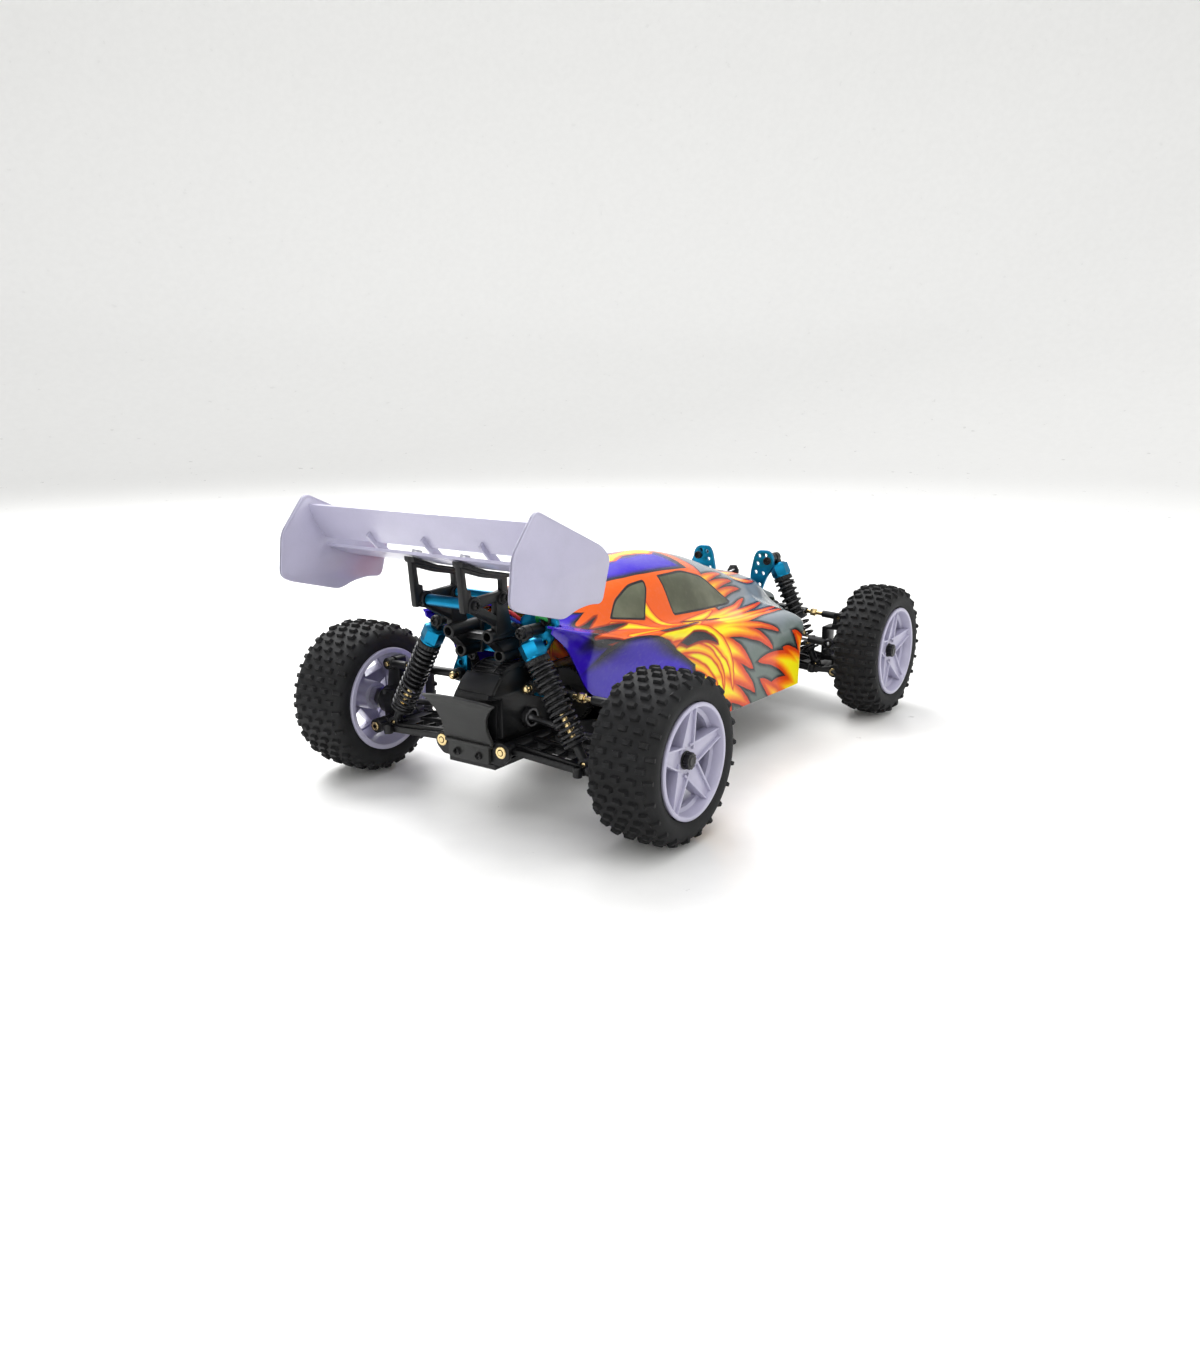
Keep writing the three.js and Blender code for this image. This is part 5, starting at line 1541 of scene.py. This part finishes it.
def add_shell():
    """The painted shell, with a wall and with its opening and holes cut through."""
    shell = piece("painted_shell", shell_form(), "body_shell", "flame_paint", "painted_shell",
                  ["body_shell"], sharp=50)
    wall = shell.modifiers.new("wall", "SOLIDIFY")
    wall.thickness = SHELL_WALL * MM
    wall.offset = -1
    wall.use_even_offset = False
    applied(shell, wall)
    tools = together(
        block((-162, -133.5), (-40.4, 40.4), (60, 130), 5, 0.1),
        rod("z", (FRONT_POST_X, 0, 0), 3.2, 60, 100),
        rod("z", (REAR_POST_X, 0, 0), 3.2, 90, 125),
    )
    cutter = piece("cutter", tools, None, "flame_paint")
    cut = shell.modifiers.new("openings", "BOOLEAN")
    cut.operation = "DIFFERENCE"
    cut.solver = "EXACT"
    cut.use_self = True
    cut.object = cutter
    applied(shell, cut)
    bpy.data.objects.remove(cutter)
    shell.data.shade_smooth()
    shell.data.set_sharp_from_angle(angle=math.radians(40))


# ---- What stays CAD ------------------------------------------------------------------------

KEPT_NODES = {
    "chassis": "black_plastic",
    "front_bumper": "black_plastic",
    "steering_servo": "black_plastic",
    "steering_rack": "black_plastic",
    "battery_pack": "battery_wrap",
}


def finish_kept_nodes():
    """Materials and softened edges for the CAD nodes that no piece replaces."""
    for name, material in KEPT_NODES.items():
        node = frame["nodes"][name]
        node.data.materials.clear()
        node.data.materials.append(MATERIALS[material])
        soft = node.modifiers.new("soft_edges", "BEVEL")
        soft.width = 0.35 * MM
        soft.segments = 2
        soft.limit_method = "ANGLE"
        soft.angle_limit = math.radians(40)


# ---- Drive train ---------------------------------------------------------------------------


def gear(axis_x, y, z, teeth, module, start, end, bore):
    """A spur gear with rounded teeth across x."""
    pitch = teeth * module / 2
    outline = []
    for k in range(teeth):
        for share, radius in ((0.0, pitch - 1.0 * module), (0.22, pitch - 0.9 * module),
                              (0.36, pitch + 0.55 * module), (0.64, pitch + 0.55 * module),
                              (0.78, pitch - 0.9 * module)):
            angle = TAU * (k + share) / teeth
            outline.append((y + radius * math.cos(angle), z + radius * math.sin(angle)))
    return plate("x", outline, axis_x + start, axis_x + end, [circle((y, z), bore, 20)], 0.15)


def add_drive_train():
    """The centre shaft with its spur gear, and the motor with its pinion."""
    spur_x = PIVOTS["motor_spin"].x - MID_X
    motor_y, motor_z = PIVOTS["motor_spin"].y, PIVOTS["motor_spin"].z
    drive_z = PIVOTS["centre_shaft_spin"].z
    spur = gear(spur_x, 0, drive_z, 42, 0.78, -2.5, 2.5, 5.8)
    spur = together(spur, tube("x", (spur_x, 0, drive_z), 6, 2.2, -6, 6))
    piece("spur_gear", spur, "centre_shaft", "gear_nylon")
    low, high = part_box("centre_shaft")
    shaft = rod("x", (0, 0, drive_z), 2.4, low.x / MM - MID_X, high.x / MM - MID_X, 0.3)
    piece("drive_bar", shaft, "centre_shaft", "dark_steel", "steel", ["centre_shaft"])
    small = together(
        gear(spur_x, motor_y, motor_z, 14, 0.76, -3, 3, 1.7),
        tube("x", (spur_x, motor_y, motor_z), 4.2, 1.6, 2.6, 4, 0.2, 24),
    )
    piece("brass_pinion", small, "motor_pinion", "brass", "steel", ["motor_pinion"])
    low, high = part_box("motor")
    start, end = low.x / MM - MID_X, high.x / MM - MID_X
    place = (0, motor_y, motor_z)
    can = turned("x", [(start + 2, 0), (start + 2, 16.6), (start + 2.8, 17.3), (start + 44, 17.3),
                       (start + 44.6, 16.9), (start + 45.2, 17.3), (end - 5, 17.3), (end - 4, 16.4),
                       (end - 4, 6.4), (end - 0.4, 5.6), (end, 5.0), (end, 0)], place, 48)
    front = rod("x", place, 5.8, start + 0.2, start + 3, 0.3)
    piece("motor_can", together(can, front), "chassis", "dark_steel", "steel", ["motor"])
    tabs = [block((end - 5, end - 1), (y - 1.6, y + 1.6), (motor_z - 1, motor_z + 1.4), 0.4, 0.2)
            for y in (motor_y + 11, motor_y - 11)]
    piece("motor_tabs", together(*tabs), "chassis", "brass")


def add_electronics():
    """The speed controller with its heat sink, and the motor's two leads."""
    box = block((3, 25), (-44, -14), (29.4, 44), 2, 0.7)
    fins = [block((5 + 2.4 * k, 6 + 2.4 * k), (-40, -18), (43.6, 47.5), 0.3, 0.2) for k in range(8)]
    piece("speed_controller", box, "chassis", "black_plastic")
    piece("heat_sink", together(*fins), "chassis", "blue_aluminium")
    leads = {
        "red_wire": [(-6, -16, 52), (-1, -14, 56), (4, -18, 54), (8, -24, 47), (9, -28, 43.5)],
        "blue_wire": [(-6, -29, 52), (-1, -30, 57), (5, -31, 55), (10, -33, 48), (12, -34, 43.5)],
    }
    for name, points in leads.items():
        piece(f"motor_{name}", sweep(smooth_path(points), 1.1, 10), "chassis", name, "wire")


def add_tower_wires():
    """Three short leads that loop over the rear tower."""
    routes = {
        "green_wire": [(-136, -33, 97), (-140, -34.5, 103), (-143, -33.5, 105.5), (-143.4, -30, 106),
                       (-141, -27.5, 104), (-136, -26, 99)],
        "red_wire": [(-134, -4, 96), (-141, -6, 103.5), (-144, -9, 106.6), (-143, -13, 105.6),
                     (-136, -16, 99)],
        "blue_wire": [(-134, -2, 95), (-141.4, -3, 102), (-144.6, -7, 104.8), (-144, -12, 103.6),
                      (-136, -17, 97)],
    }
    for name, points in routes.items():
        piece(f"tower_{name}", sweep(smooth_path(points), 1.0, 10), "chassis", name, "wire")


# ---- Everything ----------------------------------------------------------------------------


def add_chassis_parts():
    """The pieces on the chassis that stand alone, with the CAD nodes that they replace."""
    parts = [
        ("rear_gear_case", rear_gearbox(), "black_plastic", None, ["rear_gearbox"]),
        ("front_gear_case", front_gearbox(), "black_plastic", None, ["front_gearbox"]),
        ("rear_outdrives", outdrive_cups(REAR), "dark_steel", "steel", ()),
        ("front_outdrives", outdrive_cups(FRONT), "dark_steel", "steel", ()),
        ("rear_hinge_rings", hinge_rings(REAR), "brass", None, ()),
        ("front_hinge_rings", hinge_rings(FRONT), "brass", None, ()),
        ("rear_tower_plate", rear_tower(), "blue_aluminium", None, ["rear_shock_tower"]),
        ("front_tower_plate", front_tower(), "blue_aluminium", None, ["front_shock_tower"]),
        ("tower_screws", tower_screws(), "black_plastic", None, ()),
        ("tower_ball_studs", tower_studs(), "brass", None, ()),
        ("body_posts", body_posts(), "black_plastic", None, ()),
        ("rear_shield", rear_bumper(), "grey_plastic", None, ["rear_bumper"]),
        ("hinge_plate_screws", hinge_plate_screws(), "black_plastic", None, ()),
        ("lavender_wing", rear_wing(), "lavender_plastic", None, ["rear_wing"]),
        ("wing_screws", wing_screws(), "steel", None, ()),
        ("wing_uprights", wing_mount(), "black_plastic", None, ["wing_mount"]),
        ("wing_spacers", wing_spacers(), "blue_aluminium", None, ()),
        ("wing_mount_screws", wing_mount_screws(), "black_plastic", None, ()),
    ]
    for name, form, material, slot, nodes in parts:
        piece(name, form, "chassis", material, slot, nodes)


MATERIALS = add_materials()
add_camera()
add_studio()
add_floor()
add_corner(REAR)
add_corner(FRONT)
add_steering()
add_shell()
add_drive_train()
add_electronics()
add_tower_wires()
add_chassis_parts()
piece("front_body_clip", r_clip((115, 0, 92), 12), "body_shell", "steel")
finish_kept_nodes()
